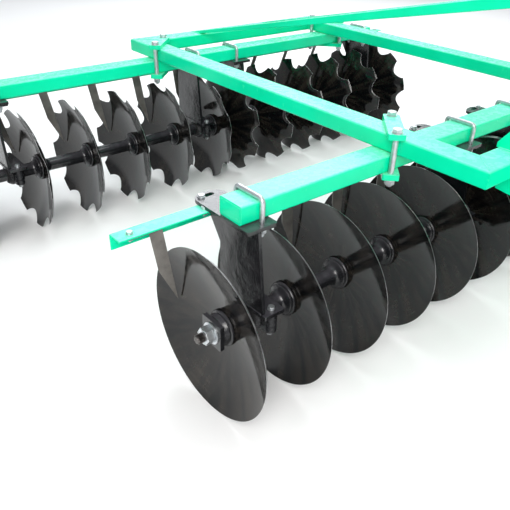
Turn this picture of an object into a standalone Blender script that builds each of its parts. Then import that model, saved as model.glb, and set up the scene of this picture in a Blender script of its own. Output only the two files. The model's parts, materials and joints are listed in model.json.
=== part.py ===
"""Disc harrow carried on a tractor's three-point linkage.

Two straight gang beams hang under a rectangular frame. Each beam carries two gangs of six
concave discs that turn freely: plain discs in the front row, notched ones in the rear row.
The front faces -Y, so the machine's right-hand side is at -X, and the discs stand on z = 0.
"""

from math import cos, pi, radians, sin, sqrt

import bmesh
import bpy
from mathutils import Matrix, Vector

# Discs
DISC_RADIUS = 0.280
DISC_SPACING = 0.250
DISCS_PER_GANG = 6
DISC_THICKNESS = 0.005
DISC_EDGE = 0.0015
DISH_DEPTH = 0.065
HUB_FLAT_RADIUS = 0.062
MID_RING_RADIUS = 0.180
NOTCH_COUNT = 9
NOTCH_DEPTH = 0.042
TOOTH_SHARE = 0.40
NOTCH_PHASES = (14.0, -9.0, 0.0, 6.0, -3.0, 11.0)

# Gang bolt, spools and end fittings
BOLT_SIDE = 0.032
SPOOL_RADIUS = 0.029
FLANGE_RADIUS = 0.058
FLANGE_THICKNESS = 0.012
FLARE_LENGTH = 0.018
END_PLATE_SIDE = 0.092
NUT_ACROSS_FLATS = 0.052
THREAD_RADIUS = 0.0155
BUMPER_RADIUS = 0.056
BUMPER_LENGTH = 0.0215

# Where the rows stand, measured from the frame's centre line and the front axle
ROW_DISTANCE = 1.486
FRONT_INNER_RIM = -0.150
REAR_INNER_RIM = -0.095
REAR_ROW_SHIFT = -0.275

# Tubes
TUBE_WIDTH = 0.100
TUBE_HEIGHT = 0.060
BEAM_ABOVE_DISCS = 0.065
BEAM_CENTRE_Y = 0.030
BEAM_END_FROM_FIRST_RIM = 0.112
MEMBER_FROM_HANGER = 0.2075
FRAME_FRONT_Y = -0.366
FRAME_BEHIND_REAR_AXLE = 0.234

# Hangers and bearings
INNER_BEARING_ROOM = 0.0175
BEARING_HALF_LENGTH = 0.035
HOUSING_RADIUS = 0.050
BORE_RADIUS = 0.0306
STANDARD_THICKNESS = 0.012
STANDARD_FOOT_Z = 0.050
TOP_PLATE_THICKNESS = 0.0117
TOP_PLATE_OUTER_X = -0.088
TOP_PLATE_INNER_X = 0.0225
TOP_PLATE_FRONT_Y = -0.060
TOP_PLATE_SHOULDER_Y = 0.185
TOP_PLATE_ROUNDING = 0.040
SLOT_Y = 0.200
SLOT_RADIUS = 0.009
SLOT_FROM = -0.066
SLOT_TO = -0.024
BEARING_BOLT_Y = 0.073
BEARING_BOLT_HEAD = 0.018
U_BOLT_X = -0.0125
U_BOLT_RADIUS = 0.008
U_BOLT_PLAY = 0.0015
U_BOLT_BEND = 0.006
U_BOLT_THREAD = 0.022

# Scrapers
ANGLE_WALL = 0.005
ANGLE_FRONT_Y = 0.127
ANGLE_BACK_Y = 0.186
ANGLE_DROP = 0.052
BAR_END_BEYOND_RIM = 0.186
SCRAPER_WIDTH = 0.040
SCRAPER_THICKNESS = 0.0045
SCRAPER_FOOT_START = 0.160
SCRAPER_BEND = 0.050
SCRAPER_TIP_Y = 0.190
SCRAPER_TIP_Z = 0.012
SCRAPER_CLEARANCE = 0.0107
SCRAPER_POINT_SHARE = 0.54
SCRAPER_TURN = 20

# Clamps between the side members and the beams
CLAMP_PLATE_THICKNESS = 0.020
CLAMP_PLATE_WIDTH = 0.058
CLAMP_PLATE_END = 0.017
CLAMP_BOLT_RADIUS = 0.010
CLAMP_BOLT_PLAY = 0.002
CLAMP_NUT = 0.030

# Three-point hitch
EAR_THICKNESS = 0.010
BALL_GAP = 0.045
LOWER_BALL_X = 0.4125
LOWER_PIN = (-0.485, 0.305)
LOWER_HOLE_RADIUS = 0.0145
MAST_HEIGHT = 0.610
TOP_HOLE_RADIUS = 0.0129
CHEEK_GAP = 0.053
CHEEK_THICKNESS = 0.012
CHEEK_FRONT_Y = -0.470
CHEEK_BACK_Y = -0.360
CHEEK_BELOW_PIN = 0.075
CHEEK_ABOVE_PIN = 0.045
TOP_PIN_FROM_FRONT = 0.040
WEB_THICKNESS = 0.012
UPRIGHT_FRONT_Y = -0.455
UPRIGHT_BACK_Y = -0.385
UPRIGHT_FOOT = 0.040
UPRIGHT_KNEE = 0.141
UPRIGHT_TOP_HEIGHT = 0.050
BRACE_HEIGHT = 0.050
BRACE_WIDTH = 0.034
BRACE_TOP_X = 0.003
BRACE_FOOT_X = 0.235

GAP = 0.0003
JOIN = 0.002
SIDES = 12

BEAM_BOTTOM = DISC_RADIUS + BEAM_ABOVE_DISCS
FRAME_BOTTOM = BEAM_BOTTOM + TUBE_HEIGHT + GAP
FRAME_TOP = FRAME_BOTTOM + TUBE_HEIGHT
TOP_PLATE_TOP = BEAM_BOTTOM - GAP
TOP_PLATE_BOTTOM = TOP_PLATE_TOP - TOP_PLATE_THICKNESS
BAR_TOP = TOP_PLATE_BOTTOM - GAP
FRAME_REAR_Y = ROW_DISTANCE + FRAME_BEHIND_REAR_AXLE
GANG_LENGTH = (DISCS_PER_GANG - 1) * DISC_SPACING
OUTER_BEARING_X = DISH_DEPTH + (DISC_SPACING + DISC_THICKNESS) / 2
LAST_FLARE_X = GANG_LENGTH + DISH_DEPTH - FLANGE_THICKNESS - FLARE_LENGTH
INNER_BEARING_X = LAST_FLARE_X - INNER_BEARING_ROOM - BEARING_HALF_LENGTH
REAR_RIGHT_HANGER_X = REAR_ROW_SHIFT + REAR_INNER_RIM - GANG_LENGTH + INNER_BEARING_X
SIDE_MEMBER_X = MEMBER_FROM_HANGER - REAR_RIGHT_HANGER_X
CLAMP_BOLT_OFFSET = TUBE_WIDTH / 2 + CLAMP_BOLT_PLAY + CLAMP_BOLT_RADIUS
TOP_PIN = (CHEEK_FRONT_Y + TOP_PIN_FROM_FRONT, LOWER_PIN[1] + MAST_HEIGHT)
SPHERE_RADIUS = (DISC_RADIUS**2 + DISH_DEPTH**2) / (2 * DISH_DEPTH)

GREEN_PAINT = ("turquoise_paint", (0.02, 0.72, 0.46), 0.32, 0.0)
BLACK_GLOSS = ("black_gloss", (0.012, 0.012, 0.014), 0.18, 0.2)
DISC_BLACK = ("disc_black", (0.030, 0.028, 0.027), 0.22, 0.5)


# ---------------------------------------------------------------- scene and materials


def clear_scene():
    for obj in list(bpy.data.objects):
        bpy.data.objects.remove(obj, do_unlink=True)


def material(finish):
    """The Principled material of this finish, made once."""
    name, colour, roughness, metallic = finish
    found = bpy.data.materials.get(name)
    if found:
        return found
    made = bpy.data.materials.new(name)
    made.use_nodes = True
    shader = made.node_tree.nodes["Principled BSDF"]
    shader.inputs["Base Color"].default_value = (*colour, 1.0)
    shader.inputs["Roughness"].default_value = roughness
    shader.inputs["Metallic"].default_value = metallic
    made.diffuse_color = (*colour, 1.0)
    return made


def place(name, mesh, finish, matrix=None):
    """One sub-part: an object of its own with its own material slot."""
    obj = bpy.data.objects.new(name, mesh)
    bpy.context.scene.collection.objects.link(obj)
    if not mesh.materials:
        mesh.materials.append(material(finish))
    if matrix is not None:
        obj.matrix_world = matrix
    return obj


def finished(bm, name):
    """The bmesh as a mesh with its faces pointing out."""
    bmesh.ops.recalc_face_normals(bm, faces=bm.faces)
    mesh = bpy.data.meshes.new(name)
    bm.to_mesh(mesh)
    bm.free()
    if sum(mesh_volume_terms(mesh)) < 0:
        mesh.flip_normals()
    mesh.shade_smooth()
    mesh.set_sharp_from_angle(angle=radians(32))
    return mesh


def mesh_volume_terms(mesh):
    points = [vertex.co for vertex in mesh.vertices]
    for face in mesh.polygons:
        corners = [points[index] for index in face.vertices]
        for second, third in zip(corners[1:], corners[2:]):
            yield corners[0].dot(second.cross(third)) / 6


# ---------------------------------------------------------------- basic shapes


def prism(name, outline, axis, low, high):
    """An outline in the two other axes, in X, Y, Z order, extruded from low to high along axis."""
    bm = bmesh.new()
    rings = []
    for level in (low, high):
        ring = []
        for u, v in outline:
            point = [u, v]
            point.insert("xyz".index(axis), level)
            ring.append(bm.verts.new(point))
        rings.append(ring)
    bridge(bm, *rings)
    bm.faces.new(rings[0])
    bm.faces.new(reversed(rings[1]))
    return finished(bm, name)


def bridge(bm, first, second):
    for i in range(len(first)):
        j = (i + 1) % len(first)
        bm.faces.new((first[i], first[j], second[j], second[i]))


def block(name, x_range, y_range, z_range):
    (x0, x1), (y0, y1), (z0, z1) = x_range, y_range, z_range
    return prism(name, [(x0, y0), (x1, y0), (x1, y1), (x0, y1)], "z", z0, z1)


def polygon(sides, radius, centre=(0.0, 0.0), turn=0.0):
    """A regular outline with its corners on the radius."""
    angles = [turn + 2 * pi * i / sides for i in range(sides)]
    return [(centre[0] + radius * cos(a), centre[1] + radius * sin(a)) for a in angles]


def hole(radius, sides, centre):
    """A regular outline whose mean radius is the hole's radius."""
    return polygon(sides, radius * (1 + 1 / cos(pi / sides)) / 2, centre)


def hexagon(across_flats, centre=(0.0, 0.0)):
    return polygon(6, across_flats / sqrt(3), centre)


def six_sided(name, near, far):
    """A solid between two four-cornered faces whose corners are in matching order."""
    bm = bmesh.new()
    first = [bm.verts.new(point) for point in near]
    second = [bm.verts.new(point) for point in far]
    bridge(bm, first, second)
    bm.faces.new(first)
    bm.faces.new(reversed(second))
    return finished(bm, name)


def bent_rod(name, points, radius, sides=6):
    """A round rod along straight stretches at one x, mitred where they meet."""
    points = [Vector(point) for point in points]
    sideways = Vector((1, 0, 0))
    bm = bmesh.new()
    rings = []
    for i, point in enumerate(points):
        before = (point - points[i - 1]).normalized() if i else None
        after = (points[i + 1] - point).normalized() if i + 1 < len(points) else before
        before = before or after
        tangent = (before + after).normalized()
        outward = sideways.cross(tangent) / tangent.dot(before)
        angles = [2 * pi * k / sides + pi / sides for k in range(sides)]
        ring = [point + radius * (cos(a) * sideways + sin(a) * outward) for a in angles]
        rings.append([bm.verts.new(corner) for corner in ring])
    for first, second in zip(rings, rings[1:]):
        bridge(bm, first, second)
    bm.faces.new(rings[0])
    bm.faces.new(reversed(rings[-1]))
    return finished(bm, name)


def combined(name, solids, cutters=()):
    """The Boolean union of the solids, less the cutters, as one mesh."""
    body = bpy.data.objects.new(name, solids[0])
    bpy.context.scene.collection.objects.link(body)
    helpers = []
    steps = [("UNION", mesh) for mesh in solids[1:]]
    steps += [("DIFFERENCE", mesh) for mesh in cutters]
    for operation, mesh in steps:
        helper = bpy.data.objects.new(name + "_helper", mesh)
        bpy.context.scene.collection.objects.link(helper)
        helpers.append(helper)
        modifier = body.modifiers.new(operation.title(), "BOOLEAN")
        modifier.operation = operation
        modifier.solver = "EXACT"
        modifier.object = helper
    bpy.context.view_layer.update()
    graph = bpy.context.evaluated_depsgraph_get()
    mesh = bpy.data.meshes.new_from_object(body.evaluated_get(graph))
    for obj in [body, *helpers]:
        bpy.data.objects.remove(obj, do_unlink=True)
    mesh.name = name
    mesh.shade_smooth()
    mesh.set_sharp_from_angle(angle=radians(32))
    return mesh


# ---------------------------------------------------------------- discs


def dish_x(radius):
    """How far the concave face lies behind the rim plane at this radius."""
    if radius <= HUB_FLAT_RADIUS:
        radius = HUB_FLAT_RADIUS
    sag = SPHERE_RADIUS - sqrt(SPHERE_RADIUS**2 - radius**2)
    flat_sag = SPHERE_RADIUS - sqrt(SPHERE_RADIUS**2 - HUB_FLAT_RADIUS**2)
    rim_sag = SPHERE_RADIUS - sqrt(SPHERE_RADIUS**2 - DISC_RADIUS**2)
    return DISH_DEPTH * (rim_sag - sag) / (rim_sag - flat_sag)


def plain_outline():
    """(angle, radius) of each point round a plain disc, with one point straight down."""
    count = 24
    return [(2 * pi * i / count, DISC_RADIUS) for i in range(count)]


def notched_outline(phase):
    """(angle, radius) round a notched disc: a tooth centred on the phase, then a round notch."""
    points = []
    period = 2 * pi / NOTCH_COUNT
    tooth = period * TOOTH_SHARE
    notch = period - tooth
    for i in range(NOTCH_COUNT):
        middle = phase - pi / 2 + i * period
        for share in (-0.5, 0.0, 0.5):
            points.append((middle + share * tooth, DISC_RADIUS))
        for share in (0.18, 0.5, 0.82):
            depth = NOTCH_DEPTH * sin(pi * share) ** 0.7
            points.append((middle + tooth / 2 + share * notch, DISC_RADIUS - depth))
    start = points[0][0]
    return [(start + (angle - start) % (2 * pi), radius) for angle, radius in points]


def square_radius(side, angle):
    return side / 2 / max(abs(cos(angle)), abs(sin(angle)))


def zip_rings(bm, first, second):
    """Triangles between two rings of (angle, vertex), each in rising angle."""
    first = sorted(first, key=lambda item: item[0] % (2 * pi))
    second = sorted(second, key=lambda item: item[0] % (2 * pi))
    i = j = 0
    while i < len(first) or j < len(second):
        a, b = first[i % len(first)], second[j % len(second)]
        next_a, next_b = first[(i + 1) % len(first)], second[(j + 1) % len(second)]
        turn_a = next_a[0] % (2 * pi) + 2 * pi * ((i + 1) // len(first))
        turn_b = next_b[0] % (2 * pi) + 2 * pi * ((j + 1) // len(second))
        if j >= len(second) or (i < len(first) and turn_a <= turn_b):
            bm.faces.new((a[1], next_a[1], b[1]))
            i += 1
        else:
            bm.faces.new((a[1], next_b[1], b[1]))
            j += 1


def disc_mesh(name, outline):
    """A dished disc with a square hole: x = 0 is its rim plane, and it bulges towards +X."""
    hole_side = BOLT_SIDE + 2 * GAP
    corners = [(pi / 4 + i * pi / 2, square_radius(hole_side, pi / 4)) for i in range(4)]
    count = 18 if len(outline) > 30 else 12
    middle = [(2 * pi * i / count, MID_RING_RADIUS) for i in range(count)]
    hub = [(2 * pi * i / 12, HUB_FLAT_RADIUS) for i in range(12)]
    bm = bmesh.new()

    def ring(points, offset):
        made = []
        for angle, radius in points:
            x = dish_x(radius) + offset
            made.append((angle, bm.verts.new((x, radius * cos(angle), radius * sin(angle)))))
        return made

    front = [ring(points, 0.0) for points in (outline, middle, hub, corners)]
    back = [ring(outline, DISC_EDGE)]
    back += [ring(points, DISC_THICKNESS) for points in (middle, hub, corners)]
    for side in (front, back):
        for outer, inner in zip(side, side[1:]):
            zip_rings(bm, outer, inner)
    zip_rings(bm, front[0], back[0])
    zip_rings(bm, front[-1], back[-1])
    return finished(bm, name)


# ---------------------------------------------------------------- gang axles


def station_radius(shape, size, angle):
    if shape == "square":
        return square_radius(size, angle)
    if shape == "hexagon":
        step = pi / 3
        offset = (angle - pi / 4 + step / 2) % step - step / 2
        return size / 2 / cos(step / 2 - abs(offset))
    return size


def turned(name, stations):
    """A solid along X through (x, shape, size) sections; two at one x make a shoulder."""
    bm = bmesh.new()
    angles = [pi / 4 + 2 * pi * i / SIDES for i in range(SIDES)]
    rings = []
    for x, shape, size in stations:
        radii = [station_radius(shape, size, angle) for angle in angles]
        ring = [bm.verts.new((x, r * cos(a), r * sin(a))) for r, a in zip(radii, angles)]
        rings.append(ring)
    for first, second in zip(rings, rings[1:]):
        bridge(bm, first, second)
    bm.faces.new(rings[0])
    bm.faces.new(reversed(rings[-1]))
    return finished(bm, name)


def spool_stations(start, end):
    """A spool between two discs, flared into a flange at each end."""
    thick = FLANGE_THICKNESS
    flare = thick + FLARE_LENGTH
    return [
        (start, "round", FLANGE_RADIUS),
        (start + thick, "round", FLANGE_RADIUS),
        (start + flare, "round", SPOOL_RADIUS),
        (end - flare, "round", SPOOL_RADIUS),
        (end - thick, "round", FLANGE_RADIUS),
        (end, "round", FLANGE_RADIUS),
    ]


def stack(start, pieces, direction=1):
    """Stations for a run of (shape, size, length) pieces that starts at this x."""
    stations = []
    x = start
    for shape, size, length in pieces:
        stations.append((x, shape, size))
        x += direction * length
        stations.append((x, shape, size))
    return stations if direction > 0 else stations[::-1]


def axle_mesh(name, with_bumper):
    """The square gang bolt with its spools, end washers and nuts, along X from disc 1's rim."""
    face = DISH_DEPTH - GAP
    outer_end = [
        ("round", FLANGE_RADIUS, 0.030),
        ("square", END_PLATE_SIDE, 0.015),
        ("hexagon", NUT_ACROSS_FLATS, 0.032),
        ("round", THREAD_RADIUS, 0.027),
    ]
    inner_end = [
        ("round", FLANGE_RADIUS, 0.020),
        ("square", END_PLATE_SIDE, 0.010),
        ("hexagon", NUT_ACROSS_FLATS, 0.028),
        ("round", THREAD_RADIUS, 0.012),
    ]
    bumper = [("round", BUMPER_RADIUS, BUMPER_LENGTH)]
    stations = stack(face, outer_end, -1)
    for i in range(DISCS_PER_GANG):
        near = i * DISC_SPACING + DISH_DEPTH - GAP
        far = near + DISC_THICKNESS + 2 * GAP
        stations += [(near, "square", BOLT_SIDE), (far, "square", BOLT_SIDE)]
        if i + 1 < DISCS_PER_GANG:
            stations += spool_stations(far, near + DISC_SPACING)
        else:
            stations += stack(far, bumper if with_bumper else inner_end)
    return turned(name, stations)


# ---------------------------------------------------------------- hangers


def standard_outline(flared):
    """The hanger's upright plate in Y and Z, with a step that leaves room for the scraper bar."""
    top_z = TOP_PLATE_BOTTOM + JOIN
    step_y = ANGLE_FRONT_Y - 0.001
    step_z = BAR_TOP - ANGLE_WALL - SCRAPER_THICKNESS - 2 * GAP - 0.001
    front = [(-0.085, STANDARD_FOOT_Z), (-0.070, 0.172), (-0.052, top_z)]
    top = [(step_y, top_z)]
    if flared:
        top += [(step_y, step_z), (0.176, step_z), (0.174, step_z - 0.034)]
    back = [(0.126, step_z - 0.102), (0.126, 0.113), (0.108, STANDARD_FOOT_Z)]
    return front + top + back


def top_plate_outline():
    """The long plate under the beam, rounded at its rear end."""
    left, right = TOP_PLATE_OUTER_X, TOP_PLATE_INNER_X
    centre_x, reach = (left + right) / 2, (right - left) / 2
    rear = []
    for angle in (0, 30, 60, 120, 150, 180):
        x = centre_x + reach * cos(radians(angle))
        rear.append((x, TOP_PLATE_SHOULDER_Y + TOP_PLATE_ROUNDING * sin(radians(angle))))
    return [(left, TOP_PLATE_FRONT_Y), (right, TOP_PLATE_FRONT_Y), *rear]


def slot_outline():
    """The adjusting slot for the scraper bar, along X."""
    outline = []
    for centre, start in ((SLOT_TO, -90), (SLOT_FROM, 90)):
        for step in range(4):
            angle = radians(start + 60 * step)
            outline.append((centre + SLOT_RADIUS * cos(angle), SLOT_Y + SLOT_RADIUS * sin(angle)))
    return outline


def u_bolt(name):
    """The U-bolt over the gang beam."""
    x, bend = U_BOLT_X, U_BOLT_BEND
    reach = TUBE_WIDTH / 2 + U_BOLT_PLAY + U_BOLT_RADIUS
    front, rear = BEAM_CENTRE_Y - reach, BEAM_CENTRE_Y + reach
    low = TOP_PLATE_BOTTOM - U_BOLT_THREAD
    high = BEAM_BOTTOM + TUBE_HEIGHT + U_BOLT_PLAY + U_BOLT_RADIUS
    points = [
        (x, front, low),
        (x, front, high - bend),
        (x, front + bend, high),
        (x, rear - bend, high),
        (x, rear, high - bend),
        (x, rear, low),
    ]
    return bent_rod(name, points, U_BOLT_RADIUS)


def hanger_mesh(name, flared):
    """A hanger with its bearing housing and U-bolt, about the bearing's centre."""
    half = BEARING_HALF_LENGTH
    standard_x = (JOIN - half - STANDARD_THICKNESS, JOIN - half)
    foot_z = (STANDARD_FOOT_Z - 0.0065, STANDARD_FOOT_Z + 0.010)
    solids = [
        prism(name, top_plate_outline(), "z", TOP_PLATE_BOTTOM, TOP_PLATE_TOP),
        prism("standard", standard_outline(flared), "x", *standard_x),
        block("foot", (standard_x[0] - 0.001, half), (-0.098, 0.112), foot_z),
        prism("housing", polygon(12, HOUSING_RADIUS, turn=pi / 12), "x", 0.001 - half, half - 0.001),
        block("cap_ears", (-0.025, 0.025), (-0.092, 0.092), (-0.027, -0.011)),
        u_bolt("u_bolt"),
    ]
    for y in (-BEARING_BOLT_Y, BEARING_BOLT_Y):
        solids.append(prism("bearing_bolt", hexagon(BEARING_BOLT_HEAD, (0, y)), "z", -0.044, 0.074))
    cutters = [
        prism("slot", slot_outline(), "z", TOP_PLATE_BOTTOM - 0.02, TOP_PLATE_TOP + 0.02),
        prism("bore", polygon(SIDES, BORE_RADIUS), "x", -2 * half, 2 * half),
    ]
    return combined(name, solids, cutters)


# ---------------------------------------------------------------- scraper bars


def scraper_solids(rim_x):
    """One bent strip: a foot under the angle bar and a pointed blade that faces the front, inside the dish."""
    under = BAR_TOP - ANGLE_WALL
    width = (ANGLE_FRONT_Y + 0.004, ANGLE_FRONT_Y + 0.004 + SCRAPER_WIDTH)
    foot_x = (rim_x - SCRAPER_FOOT_START, rim_x - SCRAPER_BEND)
    foot = block("scraper_foot", foot_x, width, (under - SCRAPER_THICKNESS, under + JOIN))
    tip_x = rim_x + dish_x(SCRAPER_TIP_Y) - SCRAPER_CLEARANCE
    start = Vector((foot_x[1], width[0], under - 0.0005))
    tip = Vector((tip_x, SCRAPER_TIP_Y, SCRAPER_TIP_Z))
    run = tip - start
    turn = radians(SCRAPER_TURN)
    across = Vector((-cos(turn), sin(turn), 0)) * SCRAPER_WIDTH
    back = run.cross(across).normalized() * SCRAPER_THICKNESS
    near = [start, tip, start + run * SCRAPER_POINT_SHARE + across, start + across]
    far = [point + back for point in near]
    return [foot, six_sided("scraper_blade", near, far)]


def scraper_bar_mesh(name, length):
    """The angle bar and its six scrapers, measured from disc 1's rim plane."""
    low = BAR_TOP - ANGLE_DROP
    wall = ANGLE_WALL
    profile = [
        (ANGLE_FRONT_Y, BAR_TOP),
        (ANGLE_FRONT_Y, BAR_TOP - wall),
        (ANGLE_BACK_Y - wall, BAR_TOP - wall),
        (ANGLE_BACK_Y - wall, low),
        (ANGLE_BACK_Y, low),
        (ANGLE_BACK_Y, BAR_TOP),
    ]
    solids = [prism(name, profile, "x", -BAR_END_BEYOND_RIM, length)]
    for i in range(DISCS_PER_GANG):
        solids += scraper_solids(i * DISC_SPACING)
    return combined(name, solids)


# ---------------------------------------------------------------- one gang with what carries it


def gang(side, row, row_centre_x, row_y, inner_rim, notched):
    """Six discs, their axle, two hangers and a scraper bar on one side of a row."""
    label = f"{row}_{side}"
    mirror = -1 if side == "left" else 1
    first_rim = inner_rim - GANG_LENGTH
    base = Matrix.Translation((row_centre_x, row_y, 0)) @ Matrix.Scale(mirror, 4, (1, 0, 0))
    base = base @ Matrix.Translation((first_rim, 0, 0))
    for i in range(DISCS_PER_GANG):
        outline = notched_outline(radians(NOTCH_PHASES[i])) if notched else plain_outline()
        mesh = disc_mesh(f"{label}_disc_{i + 1}", outline)
        at = base @ Matrix.Translation((i * DISC_SPACING, 0, 0))
        place(f"{label}_disc_{i + 1}", mesh, DISC_BLACK, at)
    place(f"{label}_axle", axle_mesh(f"{label}_axle", notched), BLACK_GLOSS, base)
    for where, x in (("outer", OUTER_BEARING_X), ("inner", INNER_BEARING_X)):
        mesh = hanger_mesh(f"{label}_{where}_hanger", where == "outer")
        at = base @ Matrix.Translation((x, 0, 0))
        place(f"{label}_{where}_hanger", mesh, BLACK_GLOSS, at)
    length = -first_rim - 0.004
    place(f"{label}_scraper_bar", scraper_bar_mesh(f"{label}_scraper_bar", length), GREEN_PAINT, base)


def gang_beam(row, centre_x, row_y, inner_rim):
    """The straight tube over both gangs of a row."""
    half = GANG_LENGTH - inner_rim - BEAM_END_FROM_FIRST_RIM
    y = row_y + BEAM_CENTRE_Y
    mesh = block(
        f"{row}_gang_beam",
        (centre_x - half, centre_x + half),
        (y - TUBE_WIDTH / 2, y + TUBE_WIDTH / 2),
        (BEAM_BOTTOM, BEAM_BOTTOM + TUBE_HEIGHT),
    )
    place(f"{row}_gang_beam", mesh, GREEN_PAINT)


# ---------------------------------------------------------------- frame and clamps


def frame():
    """Four tubes mitred into a rectangle."""
    outer, inner = SIDE_MEMBER_X + TUBE_WIDTH / 2, SIDE_MEMBER_X - TUBE_WIDTH / 2
    cut = GAP * 0.75
    for name, sign in (("right", -1), ("left", 1)):
        outline = [
            (sign * outer, FRAME_FRONT_Y + cut),
            (sign * inner, FRAME_FRONT_Y + TUBE_WIDTH + cut),
            (sign * inner, FRAME_REAR_Y - TUBE_WIDTH - cut),
            (sign * outer, FRAME_REAR_Y - cut),
        ]
        mesh = prism(f"{name}_side_member", outline, "z", FRAME_BOTTOM, FRAME_TOP)
        place(f"{name}_side_member", mesh, GREEN_PAINT)
    for name, edge, sign in (("front", FRAME_FRONT_Y, 1), ("rear", FRAME_REAR_Y, -1)):
        outline = [
            (-outer + cut, edge),
            (outer - cut, edge),
            (inner - cut, edge + sign * TUBE_WIDTH),
            (-inner + cut, edge + sign * TUBE_WIDTH),
        ]
        mesh = prism(f"{name}_cross_member", outline, "z", FRAME_BOTTOM, FRAME_TOP)
        place(f"{name}_cross_member", mesh, GREEN_PAINT)


def clamp_mesh(name):
    """Two plates and two bolts across a crossing, about the crossing's centre."""
    along = Vector((1, 1)).normalized()
    across = Vector((-along.y, along.x))
    reach = CLAMP_BOLT_OFFSET * sqrt(2) + CLAMP_PLATE_END
    half = CLAMP_PLATE_WIDTH / 2
    ends = ((-reach, -half), (reach, -half), (reach, half), (-reach, half))
    outline = [tuple(along * a + across * b) for a, b in ends]
    upper_face = FRAME_TOP + GAP + CLAMP_PLATE_THICKNESS
    lower_face = BEAM_BOTTOM - GAP - CLAMP_PLATE_THICKNESS
    solids = [
        prism(name, outline, "z", FRAME_TOP + GAP, upper_face),
        prism("lower_plate", outline, "z", lower_face, BEAM_BOTTOM - GAP),
    ]
    for sign in (-1, 1):
        at = (sign * CLAMP_BOLT_OFFSET, sign * CLAMP_BOLT_OFFSET)
        bolt = polygon(8, CLAMP_BOLT_RADIUS, at, pi / 8)
        nut = hexagon(CLAMP_NUT, at)
        solids.append(prism("bolt", bolt, "z", lower_face - 0.020, upper_face + 0.005))
        solids.append(prism("head", nut, "z", upper_face - JOIN, upper_face + 0.012))
        solids.append(prism("nut", nut, "z", lower_face - 0.015, lower_face + JOIN))
    return combined(name, solids)


def clamps():
    for side, sign in (("right", -1), ("left", 1)):
        for row, y in (("front", BEAM_CENTRE_Y), ("rear", ROW_DISTANCE + BEAM_CENTRE_Y)):
            at = Matrix.Translation((sign * SIDE_MEMBER_X, y, 0))
            at = at @ Matrix.Scale(-sign, 4, (1, 0, 0))
            place(f"{row}_{side}_clamp", clamp_mesh(f"{row}_{side}_clamp"), GREEN_PAINT, at)


# ---------------------------------------------------------------- three-point hitch


def ear_outline():
    """A lower hitch ear in Y and Z, hooked over and under the front cross member."""
    face = FRAME_FRONT_Y - GAP
    behind_tube = FRAME_FRONT_Y + TUBE_WIDTH + JOIN
    pin_y, pin_z = LOWER_PIN
    return [
        (behind_tube, FRAME_TOP + GAP),
        (behind_tube, FRAME_TOP + 0.017),
        (FRAME_FRONT_Y + 0.016, FRAME_TOP + 0.135),
        (pin_y + 0.015, FRAME_TOP + 0.135),
        (pin_y - 0.045, pin_z + 0.115),
        (pin_y - 0.045, pin_z - 0.050),
        (pin_y + 0.045, pin_z - 0.050),
        (FRAME_FRONT_Y + 0.004, FRAME_BOTTOM - 0.080),
        (FRAME_FRONT_Y + 0.071, FRAME_BOTTOM - 0.072),
        (FRAME_FRONT_Y + 0.071, FRAME_BOTTOM - GAP),
        (face, FRAME_BOTTOM - GAP),
        (face, FRAME_TOP + GAP),
    ]


def lower_hitch_mesh(name):
    """Two ears and the web between them, about the middle of the ball's gap."""
    near, far = BALL_GAP / 2, BALL_GAP / 2 + EAR_THICKNESS
    face = FRAME_FRONT_Y - GAP
    web_x = (-near - JOIN, near + JOIN)
    web_z = (FRAME_BOTTOM - 0.065, FRAME_TOP + 0.035)
    solids = [
        prism(name, ear_outline(), "x", near, far),
        prism("other_ear", ear_outline(), "x", -far, -near),
        block("web", web_x, (face - EAR_THICKNESS, face), web_z),
    ]
    pin_hole = prism("pin_hole", hole(LOWER_HOLE_RADIUS, 24, LOWER_PIN), "x", -2 * far, 2 * far)
    return combined(name, solids, [pin_hole])


def top_bracket_mesh(name):
    """Two cheeks and a web that take the tractor's top link."""
    near, far = CHEEK_GAP / 2, CHEEK_GAP / 2 + CHEEK_THICKNESS
    cheek_y = (CHEEK_FRONT_Y, CHEEK_BACK_Y)
    cheek_z = (TOP_PIN[1] - CHEEK_BELOW_PIN, TOP_PIN[1] + CHEEK_ABOVE_PIN)
    web_y = (CHEEK_BACK_Y - WEB_THICKNESS, CHEEK_BACK_Y)
    solids = [
        block(name, (near, far), cheek_y, cheek_z),
        block("cheek", (-far, -near), cheek_y, cheek_z),
        block("web", (-near - JOIN, near + JOIN), web_y, cheek_z),
    ]
    pin_hole = prism("pin_hole", hole(TOP_HOLE_RADIUS, 24, TOP_PIN), "x", -2 * far, 2 * far)
    return combined(name, solids, [pin_hole])


def upright_mesh(name, sign):
    """A mast upright: held between the ears, then leaning in to the top bracket's cheek."""
    outer, inner = LOWER_BALL_X + BALL_GAP / 2 - GAP, LOWER_BALL_X - BALL_GAP / 2 + GAP
    front, back = UPRIGHT_FRONT_Y, UPRIGHT_BACK_Y
    cheek = CHEEK_GAP / 2 + CHEEK_THICKNESS + GAP
    low_z = TOP_PIN[1] - CHEEK_BELOW_PIN + JOIN
    high_z = low_z + UPRIGHT_TOP_HEIGHT
    bm = bmesh.new()
    rings = []
    for z in (FRAME_TOP + UPRIGHT_FOOT, FRAME_TOP + UPRIGHT_KNEE):
        rings.append([(outer, front, z), (inner, front, z), (inner, back, z), (outer, back, z)])
    top = [(cheek, front, high_z), (cheek, front, low_z), (cheek, back, low_z), (cheek, back, high_z)]
    rings.append(top)
    rings = [[bm.verts.new((sign * x, y, z)) for x, y, z in ring] for ring in rings]
    for first, second in zip(rings, rings[1:]):
        bridge(bm, first, second)
    bm.faces.new(rings[0])
    bm.faces.new(reversed(rings[-1]))
    return finished(bm, name)


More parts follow.
